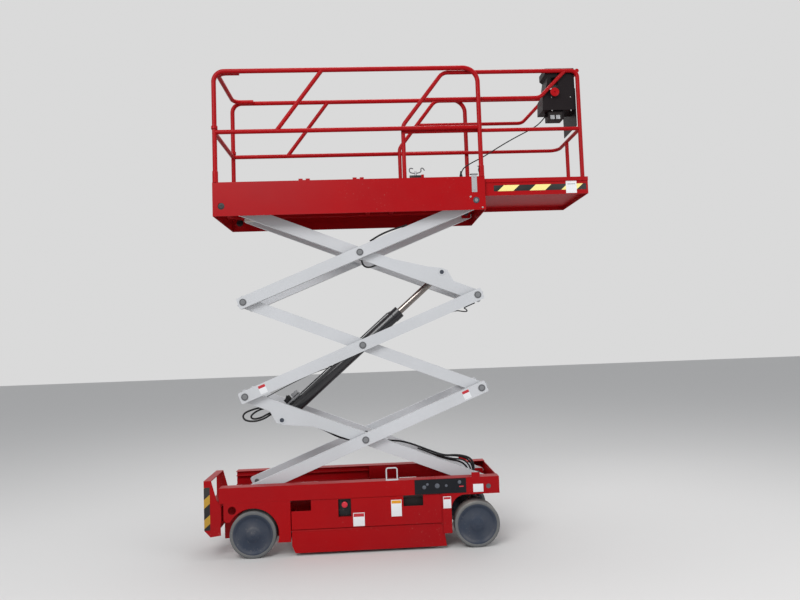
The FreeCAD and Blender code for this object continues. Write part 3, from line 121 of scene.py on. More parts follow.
def site_wear_group():
    """Node group: chips are thresholded fine noise kept to patches, dust is coarse noise that settles on
    upward faces, fade is slow noise, and height is very fine noise."""
    group = bpy.data.node_groups.new("site_wear", "ShaderNodeTree")
    for label, default in (("Chip size", 60.0), ("Chip amount", 0.3), ("Dust amount", 0.3)):
        socket = group.interface.new_socket(name=label, in_out="INPUT", socket_type="NodeSocketFloat")
        socket.default_value = default
    for label in ("Chips", "Dust", "Fade", "Height"):
        group.interface.new_socket(name=label, in_out="OUTPUT", socket_type="NodeSocketFloat")
    nodes, links = group.nodes, group.links
    given, result = nodes.new("NodeGroupInput"), nodes.new("NodeGroupOutput")
    where = nodes.new("ShaderNodeTexCoord").outputs["Object"]

    def noise(scale, detail, source=where):
        node = nodes.new("ShaderNodeTexNoise")
        links.new(source, node.inputs["Vector"])
        if isinstance(scale, float):
            node.inputs["Scale"].default_value = scale
        else:
            links.new(scale, node.inputs["Scale"])
        node.inputs["Detail"].default_value = detail
        return node.outputs["Fac"]

    def ramp(value, low, high):
        node = nodes.new("ShaderNodeMapRange")
        links.new(value, node.inputs["Value"])
        node.inputs["From Min"].default_value = low
        node.inputs["From Max"].default_value = high
        return node.outputs["Result"]

    def product(first, second):
        node = nodes.new("ShaderNodeMath")
        node.operation = "MULTIPLY"
        links.new(first, node.inputs[0])
        links.new(second, node.inputs[1])
        return node.outputs[0]

    fine = ramp(noise(given.outputs["Chip size"], 6.0), 0.64, 0.69)
    patches = ramp(noise(3.1, 2.0), 0.50, 0.66)
    links.new(product(product(fine, patches), given.outputs["Chip amount"]), result.inputs["Chips"])
    lift = nodes.new("ShaderNodeSeparateXYZ")
    links.new(nodes.new("ShaderNodeNewGeometry").outputs["Normal"], lift.inputs[0])
    upward = ramp(lift.outputs["Z"], -0.2, 1.0)
    streaks = ramp(noise(7.0, 8.0), 0.35, 0.75)
    links.new(product(product(streaks, upward), given.outputs["Dust amount"]), result.inputs["Dust"])
    links.new(ramp(noise(1.3, 3.0), 0.3, 0.7), result.inputs["Fade"])
    links.new(noise(420.0, 2.0), result.inputs["Height"])
    return group


SITE_WEAR = site_wear_group()
DUST_COLOUR, DUST_ROUGH = (0.42, 0.38, 0.33), 0.8
PEEL_STRENGTH, PEEL_HEIGHT = 0.06, 0.0006


def painted(name, colour, faded, primer, rough, chip_size=60.0, chips=0.35, dust=0.35, gloss=0.2):
    """Sprayed paint: colour to faded by slow noise, chips to primer, dust on top and a faint peel bump."""
    material = plain_material(name, colour, rough)
    nodes, links = material.node_tree.nodes, material.node_tree.links
    shader = nodes["Principled BSDF"]
    shader.inputs["Specular IOR Level"].default_value = gloss
    wear = nodes.new("ShaderNodeGroup")
    wear.node_tree = SITE_WEAR
    for label, value in (("Chip size", chip_size), ("Chip amount", chips), ("Dust amount", dust)):
        wear.inputs[label].default_value = value

    def blend(fac, first, second):
        node = nodes.new("ShaderNodeMix")
        node.data_type = "RGBA"
        links.new(fac, node.inputs["Factor"])
        for socket, value in ((node.inputs[6], first), (node.inputs[7], second)):
            if isinstance(value, tuple):
                socket.default_value = (*value, 1)
            else:
                links.new(value, socket)
        return node.outputs[2]

    base = blend(wear.outputs["Fade"], colour, faded)
    base = blend(wear.outputs["Chips"], base, primer)
    base = blend(wear.outputs["Dust"], base, DUST_COLOUR)
    links.new(base, shader.inputs["Base Color"])
    rougher = nodes.new("ShaderNodeMapRange")
    links.new(wear.outputs["Dust"], rougher.inputs["Value"])
    rougher.inputs["To Min"].default_value = rough
    rougher.inputs["To Max"].default_value = DUST_ROUGH
    links.new(rougher.outputs["Result"], shader.inputs["Roughness"])
    bump = nodes.new("ShaderNodeBump")
    bump.inputs["Strength"].default_value = PEEL_STRENGTH
    bump.inputs["Distance"].default_value = PEEL_HEIGHT
    links.new(wear.outputs["Height"], bump.inputs["Height"])
    links.new(bump.outputs["Normal"], shader.inputs["Normal"])
    return material


RED = painted("red_paint", (0.34, 0.003, 0.005), (0.29, 0.005, 0.008), (0.42, 0.20, 0.17), 0.32, dust=0.03,
              chips=0.25, gloss=0.08)

BODY_OF = {node: body for body, nodes in frame["record"]["behaviour"]["bodies"].items() for node in nodes}


def softened(material, *names, width=0.0012):
    """Pieces in place of nodes: a copy of each node's mesh with its corners merged, its flat faces joined
    and its sharp edges rounded."""
    for key in [k for k in frame["nodes"] if k.startswith(names)]:
        work = bmesh.new()
        work.from_mesh(frame["nodes"][key].data)
        bmesh.ops.remove_doubles(work, verts=work.verts, dist=2e-5)
        bmesh.ops.dissolve_limit(work, angle_limit=math.radians(1), verts=work.verts, edges=work.edges)
        mesh = bpy.data.meshes.new(key + "_piece")
        work.to_mesh(mesh)
        work.free()
        piece = bpy.data.objects.new(key + "_piece", mesh)
        bpy.context.collection.objects.link(piece)
        mesh.materials.append(material)
        mesh.shade_smooth()
        edge = piece.modifiers.new("edge", "BEVEL")
        edge.width, edge.segments, edge.limit_method = width, 2, "ANGLE"
        edge.angle_limit = math.radians(40)
        piece.modifiers.new("flats", "WEIGHTED_NORMAL").keep_sharp = True
        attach(piece, BODY_OF[key])
        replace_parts(piece, key)


softened(RED, "chassis_frame", "hood_", "side_panels_", "front_axle_beam", "lower_tracks")


def at(x, y, z):
    """A point in metres from millimetres, x counted from the rear axle."""
    return np.array([REAR + x / 1000, y / 1000, z / 1000])


def surface(name, material, body, grid, loop=(False, True), sharp=35):
    """Quads over a grid of points (rows, columns, xyz), wrapped along rows, columns or both as loop says.
    Where only the columns wrap, a face closes the first row and the last."""
    rows, cols = grid.shape[:2]
    row = np.arange(rows if loop[0] else rows - 1)[:, None]
    col = np.arange(cols if loop[1] else cols - 1)[None, :]
    next_row, next_col = (row + 1) % rows, (col + 1) % cols
    quads = np.stack([row * cols + col, row * cols + next_col,
                      next_row * cols + next_col, next_row * cols + col], -1)
    faces = quads.reshape(-1, 4).tolist()
    if loop[1] and not loop[0]:
        faces += [list(range(cols))[::-1], list(range((rows - 1) * cols, rows * cols))]
    mesh = bpy.data.meshes.new(name)
    mesh.from_pydata(grid.reshape(-1, 3).tolist(), [], faces)
    work = bmesh.new()
    work.from_mesh(mesh)
    bmesh.ops.remove_doubles(work, verts=work.verts, dist=1e-6)
    bmesh.ops.recalc_face_normals(work, faces=work.faces)
    work.to_mesh(mesh)
    work.free()
    mesh.materials.append(material)
    mesh.shade_smooth()
    mesh.set_sharp_from_angle(angle=math.radians(sharp))
    piece = bpy.data.objects.new(name, mesh)
    bpy.context.collection.objects.link(piece)
    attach(piece, body)
    return piece


def rounded_box(low, high, round_by=0.002, steps=5):
    """Grid of a box: each section is a rounded rectangle that shrinks by quarter circles at both ends."""
    low, high = np.array(low, float), np.array(high, float)
    middle, half = (low + high) / 2, (high - low) / 2
    round_by = min(round_by, *half)
    turn = np.linspace(0, math.pi / 2, steps)
    corner = np.concatenate([turn + k * math.pi / 2 for k in range(4)])
    sign_x = np.repeat([1, -1, -1, 1], steps)
    sign_y = np.repeat([1, 1, -1, -1], steps)
    rows = []
    for tip in (-1, 1):
        for bend in (turn if tip < 0 else turn[::-1]):
            shrink = round_by * math.sin(bend)
            x = sign_x * (half[0] - round_by) + shrink * np.cos(corner)
            y = sign_y * (half[1] - round_by) + shrink * np.sin(corner)
            z = np.full_like(x, tip * (half[2] - round_by + round_by * math.cos(bend)))
            rows.append(np.stack([x, y, z], -1))
    return np.array(rows) + middle


def flat_plate(name, material, body, low, high, round_by=0.0006):
    """A thin plate with rounded edges, fixed face to face on what is behind it."""
    return surface(name, material, body, rounded_box(low, high, round_by, 4))


INNER_WALL_X, INNER_WALL_Y, INNER_WALL_Z = (963, 1900), (298, 300.5), (458, 575.6)
for name, side in (("near", -1), ("far", 1)):
    low_y, high_y = sorted(side * y for y in INNER_WALL_Y)
    flat_plate(f"hood_inner_wall_{name}", RED, "chassis", at(INNER_WALL_X[0], low_y, INNER_WALL_Z[0]),
               at(INNER_WALL_X[1], high_y, INNER_WALL_Z[1]))

# Ground controls: a black plate on the near hood, with five round switches and a red selector flag.
# The plate and the switches are moulded plastic, screwed on from behind, and their faces are bare.


def turned(profile, centre, axis, steps=48):
    """Grid of a profile of (distance along, radius) turned about an axis through a centre."""
    along, radius = np.array(profile, float).T
    angle = np.linspace(0, 2 * math.pi, steps, endpoint=False)
    axis = np.array(axis, float) / np.linalg.norm(axis)
    side = np.cross(axis, (0, 0, 1) if abs(axis[2]) < 0.9 else (1, 0, 0))
    side /= np.linalg.norm(side)
    up = np.cross(axis, side)
    ring = np.cos(angle)[:, None] * side + np.sin(angle)[:, None] * up
    return np.array(centre, float) + along[:, None, None] * axis + radius[:, None, None] * ring[None]


PANEL_BLACK = painted("panel_black", (0.010, 0.011, 0.014), (0.012, 0.013, 0.016), (0.10, 0.10, 0.10), 0.28,
                      chips=0.2, dust=0.04, gloss=0.12)
SWITCH_GREY = plain_material("switch_grey", (0.085, 0.095, 0.115), 0.45)
SWITCH_RED = plain_material("switch_red", (0.55, 0.02, 0.03), 0.35)
softened(PANEL_BLACK, "ground_controls")
PANEL_Y = -403
# Along, up, radius and height of each switch
PANEL_SWITCHES = [(1425, 514, 13, 4.5), (1452, 536, 9, 3.5), (1534, 522, 16, 4.8), (1610, 520, 9, 4.5),
                  (1722, 545, 12, 4.0)]
FLAG_X, FLAG_Z, FLAG_PROUD = (1718, 1756), (505, 514), 4.5
for number, (x, z, radius, proud) in enumerate(PANEL_SWITCHES):
    knob = [(0, 0), (0, radius * 1.25), (1.2, radius * 1.25), (1.2, radius), (proud - 1, radius * 0.92),
            (proud, radius * 0.75), (proud, 0)]
    surface(f"panel_switch_{number}", SWITCH_GREY, "chassis",
            turned(np.array(knob) / 1000, at(x, PANEL_Y, z), (0, -1, 0), 32))
flag = rounded_box(at(FLAG_X[0], PANEL_Y - FLAG_PROUD, FLAG_Z[0]), at(FLAG_X[1], PANEL_Y, FLAG_Z[1]))
surface("panel_selector", SWITCH_RED, "chassis", flag)

# Grab loop: a white-painted bar bent to a square hoop and bolted inside the near hood.
# It stands clear of the hood top by the height of a hand.


def run_points(points, bends, step=0.012):
    """Points along straight runs whose inner corners are arcs of the given bend radii."""
    points = [np.array(p, float) for p in points]
    line = [points[0]]
    for before, corner, after, bend in zip(points, points[1:], points[2:], bends):
        back = (before - corner) / np.linalg.norm(before - corner)
        ahead = (after - corner) / np.linalg.norm(after - corner)
        half = math.acos(np.clip(back @ ahead, -1, 1)) / 2
        inward = (back + ahead) / np.linalg.norm(back + ahead)
        centre = corner + inward * bend / math.sin(half)
        start = corner + back * bend / math.tan(half) - centre
        sweep = math.pi - 2 * half
        normal = np.cross(start, corner + ahead * bend / math.tan(half) - centre)
        normal /= np.linalg.norm(normal)
        for turn in np.linspace(0, sweep, max(4, int(bend * sweep / step))):
            line.append(centre + start * math.cos(turn) + np.cross(normal, start) * math.sin(turn))
    return np.array(line + [points[-1]])


def tube(path, radius, steps=20):
    """Grid of a ring carried along a path and turned no more than the path turns."""
    path = np.array(path, float)
    keep = np.r_[True, np.linalg.norm(np.diff(path, axis=0), axis=1) > 1e-6]
    path = path[keep]
    heading = np.gradient(path, axis=0)
    heading /= np.linalg.norm(heading, axis=1)[:, None]
    side = np.cross(heading[0], (0.31, 0.52, 0.79))
    sides = []
    for ahead in heading:
        side = side - ahead * (side @ ahead)
        side = side / np.linalg.norm(side)
        sides.append(side)
    sides = np.array(sides)
    ups = np.cross(heading, sides)
    angle = np.linspace(0, 2 * math.pi, steps, endpoint=False)
    ring = np.cos(angle)[None, :, None] * sides[:, None] + np.sin(angle)[None, :, None] * ups[:, None]
    return path[:, None] + radius * ring


WHITE = painted("white_paint", (0.54, 0.55, 0.57), (0.48, 0.49, 0.505), (0.30, 0.26, 0.22), 0.30,
                chips=0.08, dust=0.12)
LOOP_X, LOOP_Y, LOOP_Z, LOOP_BEND, LOOP_BAR = (1113, 1203), -388, (560, 683), 0.016, 0.0055
FOOT_OUT, LOOP_FOOT_Y, LOOP_FOOT_Z = 8, (-396, -376), (580, 589)
loop_line = run_points([at(LOOP_X[0], LOOP_Y, LOOP_Z[0]), at(LOOP_X[0], LOOP_Y, LOOP_Z[1]),
                        at(LOOP_X[1], LOOP_Y, LOOP_Z[1]), at(LOOP_X[1], LOOP_Y, LOOP_Z[0])],
                       [LOOP_BEND, LOOP_BEND], 0.004)
surface("grab_loop", WHITE, "chassis", tube(loop_line, LOOP_BAR, 14))
surface("grab_loop_foot", WHITE, "chassis",
        rounded_box(at(LOOP_X[0] - FOOT_OUT, LOOP_FOOT_Y[0], LOOP_FOOT_Z[0]),
                    at(LOOP_X[1] + FOOT_OUT, LOOP_FOOT_Y[1], LOOP_FOOT_Z[1])))

# Labels: bare white plates, some with a plain coloured band, where the machine carries its signs.
# They are vinyl stuck on the paint, less than a millimetre proud of it.
LABEL_WHITE = painted("label_white", (0.74, 0.75, 0.77), (0.66, 0.67, 0.68), (0.5, 0.48, 0.45), 0.45,
                      dust=0.25)
LABEL_RED = painted("label_red", (0.48, 0.02, 0.03), (0.42, 0.03, 0.04), (0.5, 0.4, 0.4), 0.45, dust=0.2)
LABEL_AMBER = painted("label_amber", (0.72, 0.30, 0.02), (0.62, 0.28, 0.03), (0.5, 0.4, 0.3), 0.45, dust=0.2)
SIDE_Y, LABEL_PROUD, BAND_PROUD = -400, 0.7, 1.0


def label(name, body, x, z, band=None, share=0.0):
    """A plate over a span of x and of z on the near side, with a band over a share of it at the top."""
    flat_plate(name, LABEL_WHITE, body, at(x[0], SIDE_Y - LABEL_PROUD, z[0]), at(x[1], SIDE_Y, z[1]),
               0.0003)
    if band:
        band_z = z[1] - (z[1] - z[0]) * share
        flat_plate(name + "_band", band, body, at(x[0] + 4, SIDE_Y - BAND_PROUD, band_z),
                   at(x[1] - 4, SIDE_Y - 0.5, z[1] - 5), 0.0002)


label("tray_label_tail", "tray_near", (826, 921), (222, 331), LABEL_RED, 0.30)
label("tray_label_nose", "tray_near", (1144, 1231), (287, 422), LABEL_AMBER, 0.22)
label("panel_label", "chassis", (1580, 1646), (333, 430), LABEL_RED, 0.24)
label("hood_label", "chassis", (1836, 1922), (456, 522))

# Trays: the doors swing out on a hinge at their nose end and carry the pump and tank, and the batteries.
# A recess in the near door holds a red stop button; black plates at its back and sides are painted shade for
# the dark recess. Strips close the seam over each door.
softened(RED, "swing_tray_", "tray_door_")
GREY = painted("grey_paint", (0.014, 0.011, 0.011), (0.020, 0.017, 0.017), (0.08, 0.07, 0.06), 0.55,
               dust=0.06, gloss=0.1)
softened(GREY, "hydraulic_unit", "battery_pack", width=0.004)
STOP_RED = plain_material("stop_red", (0.55, 0.012, 0.03), 0.3)
SEAM_RUNS, SEAM_Y, SEAM_Z = ((482, 1243), (1412, 1555)), (392, 395.6), (447.6, 453.6)
for name, side in (("near", -1), ("far", 1)):
    low_y, high_y = sorted(side * y for y in SEAM_Y)
    for number, (tail_x, nose_x) in enumerate(SEAM_RUNS):
        flat_plate(f"door_top_strip_{name}_{number}", RED, f"tray_{name}", at(tail_x, low_y, SEAM_Z[0]),
                   at(nose_x, high_y, SEAM_Z[1]))
BLACK = painted("black_paint", (0.012, 0.012, 0.013), (0.022, 0.022, 0.024), (0.20, 0.19, 0.18), 0.30,
                dust=0.10)
# Painted shade: thin black plates over the back and both sides of the stop recess stand in for its shadow.
RECESS_SHADE_X, RECESS_SHADE_Y, RECESS_SHADE_Z, RECESS_SHADE_THICK = (706, 810), (-394, -370), (302, 447), 1
flat_plate("stop_recess_shade_back", BLACK, "tray_near", at(RECESS_SHADE_X[0], RECESS_SHADE_Y[1] - RECESS_SHADE_THICK, RECESS_SHADE_Z[0]),
           at(RECESS_SHADE_X[1], RECESS_SHADE_Y[1], RECESS_SHADE_Z[1]), 0.0004)
for number, x in enumerate((RECESS_SHADE_X[0], RECESS_SHADE_X[1] - RECESS_SHADE_THICK)):
    flat_plate(f"stop_recess_shade_side_{number}", BLACK, "tray_near", at(x, RECESS_SHADE_Y[0], RECESS_SHADE_Z[0]),
               at(x + RECESS_SHADE_THICK, RECESS_SHADE_Y[1] - RECESS_SHADE_THICK, RECESS_SHADE_Z[1]), 0.0004)
BUTTON_AT = at(758, -383, 400)
button = np.array([(0, 0), (0, 12), (6, 12), (6, 22), (9, 25), (13, 24), (16, 18), (17, 0)]) / 1000
surface("stop_button", STOP_RED, "tray_near", turned(button, BUTTON_AT, (0, -1, 0), 40))

# Pothole guards: pressed steel plates, painted red, that hang on a long hinge rod under each tray.
# They swing down when the platform rises, so that a wheel that meets a hole can't tip the machine.
softened(RED, "pothole_guard_")

# Entry ladder: folded plate stringers and treads, welded to the tail and painted red with the chassis.
# Black and yellow tape covers the outer faces of the near stringer.
softened(RED, "entry_ladder")
TAPE_BLACK, LADDER_YELLOW = (0.012, 0.012, 0.012), (0.42, 0.25, 0.035)


def hazard_tape(name, yellow, wide, lean, gap, start):
    """Slanted stripes: yellow where the fraction of (x + lean z - start) over the pitch is below wide over
    the pitch, and black paint in the gaps."""
    material = painted(name, TAPE_BLACK, (0.02, 0.02, 0.02), (0.3, 0.28, 0.25), 0.4, dust=0.2)
    nodes, links = material.node_tree.nodes, material.node_tree.links
    shader = nodes["Principled BSDF"]
    under = shader.inputs["Base Color"].links[0].from_socket
    split = nodes.new("ShaderNodeSeparateXYZ")
    links.new(nodes.new("ShaderNodeTexCoord").outputs["Object"], split.inputs[0])

    def maths(kind, first, second):
        node = nodes.new("ShaderNodeMath")
        node.operation = kind
        for socket, value in zip(node.inputs, (first, second)):
            if isinstance(value, float):
                socket.default_value = value
            else:
                links.new(value, socket)
        return node.outputs[0]

    slant = maths("ADD", split.outputs["X"], maths("MULTIPLY", split.outputs["Z"], lean))
    phase = maths("FRACT", maths("DIVIDE", maths("SUBTRACT", slant, start), wide + gap), 0.0)
    stripe = maths("LESS_THAN", phase, wide / (wide + gap))
    mix = nodes.new("ShaderNodeMix")
    mix.data_type = "RGBA"
    links.new(stripe, mix.inputs["Factor"])
    links.new(under, mix.inputs[6])
    mix.inputs[7].default_value = (*yellow, 1)
    links.new(mix.outputs[2], shader.inputs["Base Color"])
    return material


LADDER_TAPE = hazard_tape("ladder_tape", LADDER_YELLOW, 0.085, -1.176, 0.107, REAR - 0.972)
TAPE_Z = (243, 590)
flat_plate("ladder_tape_near", LADDER_TAPE, "chassis", at(-394.5, -395.1, TAPE_Z[0]),
           at(-346, -394, TAPE_Z[1]), 0.0004)
flat_plate("ladder_tape_tail", LADDER_TAPE, "chassis", at(-395, -393.8, TAPE_Z[0]),
           at(-394.6, -388.2, TAPE_Z[1]), 0.0001)

# Wheels: dark blue-grey dished discs pressed into solid tyres of grey non-marking rubber, with capped hubs.
# The rear ones turn on plain stub axles, and the front ones on steel knuckles joined by a tie rod.
TYRE = painted("tyre_rubber", (0.098, 0.103, 0.107), (0.130, 0.133, 0.134), (0.30, 0.29, 0.27), 0.72,
               chip_size=90.0, chips=0.4, dust=0.5)
DISC = painted("disc_paint", (0.026, 0.035, 0.056), (0.036, 0.046, 0.068), (0.20, 0.19, 0.18), 0.5, dust=0.35)
WHEELBASE, WHEEL_Y, TYRE_HALF, TYRE_R, RIM_R, HUB_R = 1860, 341.5, 63.5, 190.5, 164, 20.2
FACE = TYRE_HALF - 4
SHOULDER_WIDE, SHOULDER_HIGH = 10, 13
tyre_line = [(-TYRE_HALF + 5, RIM_R - 1), (-TYRE_HALF, RIM_R + 4), (-TYRE_HALF, TYRE_R - 14)]
tyre_line += [(-TYRE_HALF + SHOULDER_WIDE * (1 - math.cos(a)), TYRE_R - SHOULDER_HIGH * (1 - math.sin(a)))
              for a in np.linspace(0.1, math.pi / 2, 8)]
tyre_line += [(x, TYRE_R) for x in (-40, -20)]
tyre_line += [(-x, r) for x, r in reversed(tyre_line)]
disc_line = [(FACE - 18, HUB_R), (FACE - 4, HUB_R), (FACE - 4, 46), (FACE - 10, 58), (FACE - 14, 66),
             (FACE - 14, 128), (FACE - 11, 138), (FACE - 3, 148), (FACE, 152), (FACE, RIM_R), (-FACE, RIM_R),
             (-FACE, 150), (-26, 138), (8, 130), (8, 66), (-TYRE_HALF + 12, 52), (-TYRE_HALF + 12, HUB_R)]
cap_line = [(FACE - 5, 0), (FACE - 5, 34), (FACE - 2, 34), (FACE - 1, 30), (FACE - 1, 22), (FACE + 1, 18),
            (FACE + 2, 0)]
for axle, x in (("rear", 0), ("front", WHEELBASE)):
    for name, side in (("near", -1), ("far", 1)):
        centre = at(x, side * WHEEL_Y, TYRE_R)
        out = (0, side, 0)
        body = f"wheel_{axle}_{name}"
        tyre = surface(f"{axle}_{name}_tyre", TYRE, body,
                       turned(np.array(tyre_line) / 1000, centre, out, 96), loop=(True, True))
        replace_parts(tyre, f"tyre_{axle}_{name}")
        disc = surface(f"{axle}_{name}_disc", DISC, body,
                       turned(np.array(disc_line) / 1000, centre, out, 96), loop=(True, True), sharp=50)
        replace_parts(disc, f"wheel_disc_{axle}_{name}")
        surface(f"{axle}_{name}_cap", DISC, body, turned(np.array(cap_line) / 1000, centre, out, 40))
stub_paint = frame["nodes"]["rear_stub_axles"].data.materials
stub_paint.clear()
stub_paint.append(BLACK)
softened(BLACK, "steering_knuckle_", "tie_rod")

# Scissor arms: rectangular steel tubes with cut corners and cross tubes, on steel pins in welded bushes.
# Inner pairs fall towards the nose and outer pairs rise; every pin has a round grey cap outside.
softened(WHITE, "inner_arms_", "outer_arms_", width=0.005)
PIN_GREY = painted("pin_grey", (0.115, 0.118, 0.125), (0.085, 0.088, 0.094), (0.25, 0.2, 0.16), 0.45,
                   dust=0.2)
PIN_FACE = painted("pin_face", (0.20, 0.205, 0.215), (0.16, 0.165, 0.17), (0.25, 0.2, 0.16), 0.4, dust=0.2)
PIN_DARK = painted("pin_dark", (0.052, 0.060, 0.078), (0.040, 0.046, 0.060), (0.2, 0.17, 0.14), 0.4,
                   dust=0.15)
softened(PIN_GREY, "arm_pins_", "chassis_pivot_pins", "top_slide_pins", width=0.001)
softened(PIN_DARK, "platform_pivot_pins", width=0.001)
softened(WHITE, "cylinder_foot_pin", "cylinder_head_pins", width=0.001)
ARM, TILT = 2189, math.radians(21.69)
RUN, RISE = ARM * math.cos(TILT), ARM * math.sin(TILT)
HINGE_X, PIVOT_Z = 1966, 501
SLIDE_X = HINGE_X - RUN


def on_arm(level, falls, along, off):
    """X and z on a pair's middle line: along from its tail pin and off square to it. Inner pairs fall to
    the nose, and outer pairs rise."""
    tail_z = PIVOT_Z + (level if falls else level - 1) * RISE
    drop = -1 if falls else 1
    return (SLIDE_X + along * math.cos(TILT) - drop * off * math.sin(TILT),
            tail_z + drop * along * math.sin(TILT) + off * math.cos(TILT))


def face_disc(name, material, body, centre, radius, side, high=1.0):
    """A flat round face with a chamfered rim, standing on the end of a pin."""
    rim = np.array([(0, 0), (0, radius), (high * 0.6, radius), (high, radius - 1.5), (high, 4),
                    (high * 0.5, 0)]) / 1000
    return surface(name, material, body, turned(rim, at(*centre), (0, side, 0), 36), sharp=25)


PIN_HEAD_Y, PIN_FACE_R, EYE_FACE_R = 275, 20, 19
for level, spots in ((1, (0, ARM / 2, ARM)), (2, (0, ARM / 2, ARM)), (3, (0, ARM / 2))):
    for number, along in enumerate(spots):
        x, z = on_arm(level, False, along, 0)
        for name, side in (("near", -1), ("far", 1)):
            face_disc(f"pin_face_{level}_{number}_{name}", PIN_FACE, f"outer_{level}",
                      (x, side * PIN_HEAD_Y, z), PIN_FACE_R, side)
EYE_ALONG, EYE_OFF, EYE_HEAD_Y = 360, 88, 216.5
for name, side in (("near", -1), ("far", 1)):
    x, z = on_arm(1, True, EYE_ALONG, -EYE_OFF)
    face_disc(f"foot_pin_face_{name}", PIN_DARK, "inner_1", (x, side * EYE_HEAD_Y, z), EYE_FACE_R, side)
    x, z = on_arm(3, True, ARM - EYE_ALONG, EYE_OFF)
    face_disc(f"head_pin_face_{name}", PIN_DARK, "inner_3", (x, side * EYE_HEAD_Y, z), EYE_FACE_R, side)

# Arm labels: two bare vinyl squares with a red band, stuck on the near outer arms in line with them.
# One sits by the tail joint of the second pair and one by the nose joint of the first.


def leant_plate(name, material, body, centre, wide, high, thick, lean):
    """A thin plate round a centre, turned about the Y axis until its long side leans."""
    grid = rounded_box((-wide / 2, -thick, -high / 2), (wide / 2, 0, high / 2), thick * 0.4, 4)
    x, y, z = np.moveaxis(grid, -1, 0).copy()
    leant = [x * math.cos(lean) - z * math.sin(lean), y, x * math.sin(lean) + z * math.cos(lean)]
    return surface(name, material, body, np.stack(leant, -1) / 1000 + at(*centre))


ARM_FACE_Y, BAND_UP = -270, 25
for name, level, along in (("tail", 2, 165), ("nose", 1, 2045)):
    x, z = on_arm(level, False, along, 0)
    leant_plate(f"arm_label_{name}", LABEL_WHITE, f"outer_{level}", (x, ARM_FACE_Y, z), 64, 76, 0.7, TILT)
    x, z = on_arm(level, False, along, BAND_UP)
    leant_plate(f"arm_label_band_{name}", LABEL_RED, f"outer_{level}", (x, ARM_FACE_Y - 0.4, z), 62, 24,
                0.6, TILT)

# Slide blocks and wear strips: sawn from pale nylon, the blocks turning on the tail pins in their tracks.
# The strips are screwed to the deck, and the extension slides on them.
NYLON = plain_material("slide_nylon", (0.60, 0.58, 0.52), 0.6)
softened(NYLON, "lower_slide_blocks", "upper_slide_blocks", "wear_strips", width=0.002)

# Lift cylinder: a black barrel with a gland ring, and a valve block, cartridge and coil near its foot.
# The rod is hard chrome, slightly smeared with oil.
CHROME = painted("rod_chrome", (0.30, 0.27, 0.25), (0.22, 0.19, 0.175), (0.12, 0.10, 0.09), 0.24,
                 chip_size=35.0, chips=0.3, dust=0.12, gloss=0.5)
CHROME.node_tree.nodes["Principled BSDF"].inputs["Metallic"].default_value = 0.9
softened(CHROME, "cylinder_rod", width=0.0008)
BARREL_BLACK = painted("barrel_black", (0.016, 0.016, 0.018), (0.026, 0.026, 0.029), (0.16, 0.15, 0.14),
                       0.24, chips=0.2, dust=0.03, gloss=0.5)
softened(BARREL_BLACK, "cylinder_barrel", width=0.003)
VALVE_GREY = painted("valve_grey", (0.38, 0.39, 0.40), (0.28, 0.28, 0.29), (0.10, 0.08, 0.07), 0.4, dust=0.2)
VALVE_GREY.node_tree.nodes["Principled BSDF"].inputs["Metallic"].default_value = 0.6
FOOT_X, FOOT_Z = on_arm(1, True, EYE_ALONG, -EYE_OFF)
HEAD_X, HEAD_Z = on_arm(3, True, ARM - EYE_ALONG, EYE_OFF)
RISE_ANGLE = math.atan2(HEAD_Z - FOOT_Z, HEAD_X - FOOT_X)


def on_cylinder(grid):
    """Moves points given along, across and off the cylinder's line, in millimetres, to where it stands."""
    along, across, off = np.moveaxis(np.asarray(grid, float), -1, 0)
    x = FOOT_X + along * math.cos(RISE_ANGLE) - off * math.sin(RISE_ANGLE)
    z = FOOT_Z + along * math.sin(RISE_ANGLE) + off * math.cos(RISE_ANGLE)
    return np.stack([x, across, z], -1) / 1000 + at(0, 0, 0)


VALVE_OFF = 68.5
valve_line = [(66, 0), (66, 17.2), (68, 17.8), (150, 17.8), (152, 19), (176, 19), (178, 17.8), (226, 17.8),
              (228, 13), (242, 13), (243, 9), (243, 0)]
surface("valve_cartridge", VALVE_GREY, "barrel",
        on_cylinder(turned(valve_line, (0, 0, VALVE_OFF), (1, 0, 0), 32)), sharp=25)
BLOCK_LOW, BLOCK_HIGH, COIL_ALONG = (172, -24, 84), (236, 24, 116), 136
surface("valve_block", VALVE_GREY, "barrel", on_cylinder(rounded_box(BLOCK_LOW, BLOCK_HIGH, 3)))
coil_line = [(84, 0), (84, 20), (86, 22), (124, 22), (127, 19), (127, 8), (134, 8), (135, 6), (135, 0)]
surface("valve_coil", BLACK, "barrel", on_cylinder(turned(coil_line, (COIL_ALONG, 0, 0), (0, 0, 1), 32)),
        sharp=25)
gland_line = [(1318, 30.2), (1318, 56.4), (1320, 56.4), (1324.5, 53), (1324.5, 33), (1326, 31.5),
              (1326, 30.2)]
surface("gland_ring", BARREL_BLACK, "barrel", on_cylinder(turned(gland_line, (0, 0, 0), (1, 0, 0), 56)),
        loop=(True, True), sharp=30)

# Hoses and wires: black rubber oil hoses and the valve's wire, clipped to the arms up to the deck.
# They are looped slack at the joints so that the arms can fold.
HOSE_RUBBER = painted("hose_rubber", (0.011, 0.011, 0.012), (0.018, 0.018, 0.019), (0.06, 0.055, 0.05),
                      0.45, dust=0.05, gloss=0.15)


def laid_line(name, material, body, radius, route):
    """A round line whose middle is a NURBS spline with the route's points as its control points."""
    curve = bpy.data.curves.new(name, "CURVE")
    curve.dimensions, curve.bevel_depth, curve.bevel_resolution = "3D", radius, 4
    curve.resolution_u, curve.use_fill_caps = 12, True
    spline = curve.splines.new("NURBS")
    spline.points.add(len(route) - 1)
    points = np.array([at(*point) for point in route])
    spline.points.foreach_set("co", np.c_[points, np.ones(len(points))].ravel())
    spline.order_u = 3
    spline.use_endpoint_u = True
    curve.materials.append(material)
    line = bpy.data.objects.new(name, curve)
    bpy.context.collection.objects.link(line)
    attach(line, body)
    return line


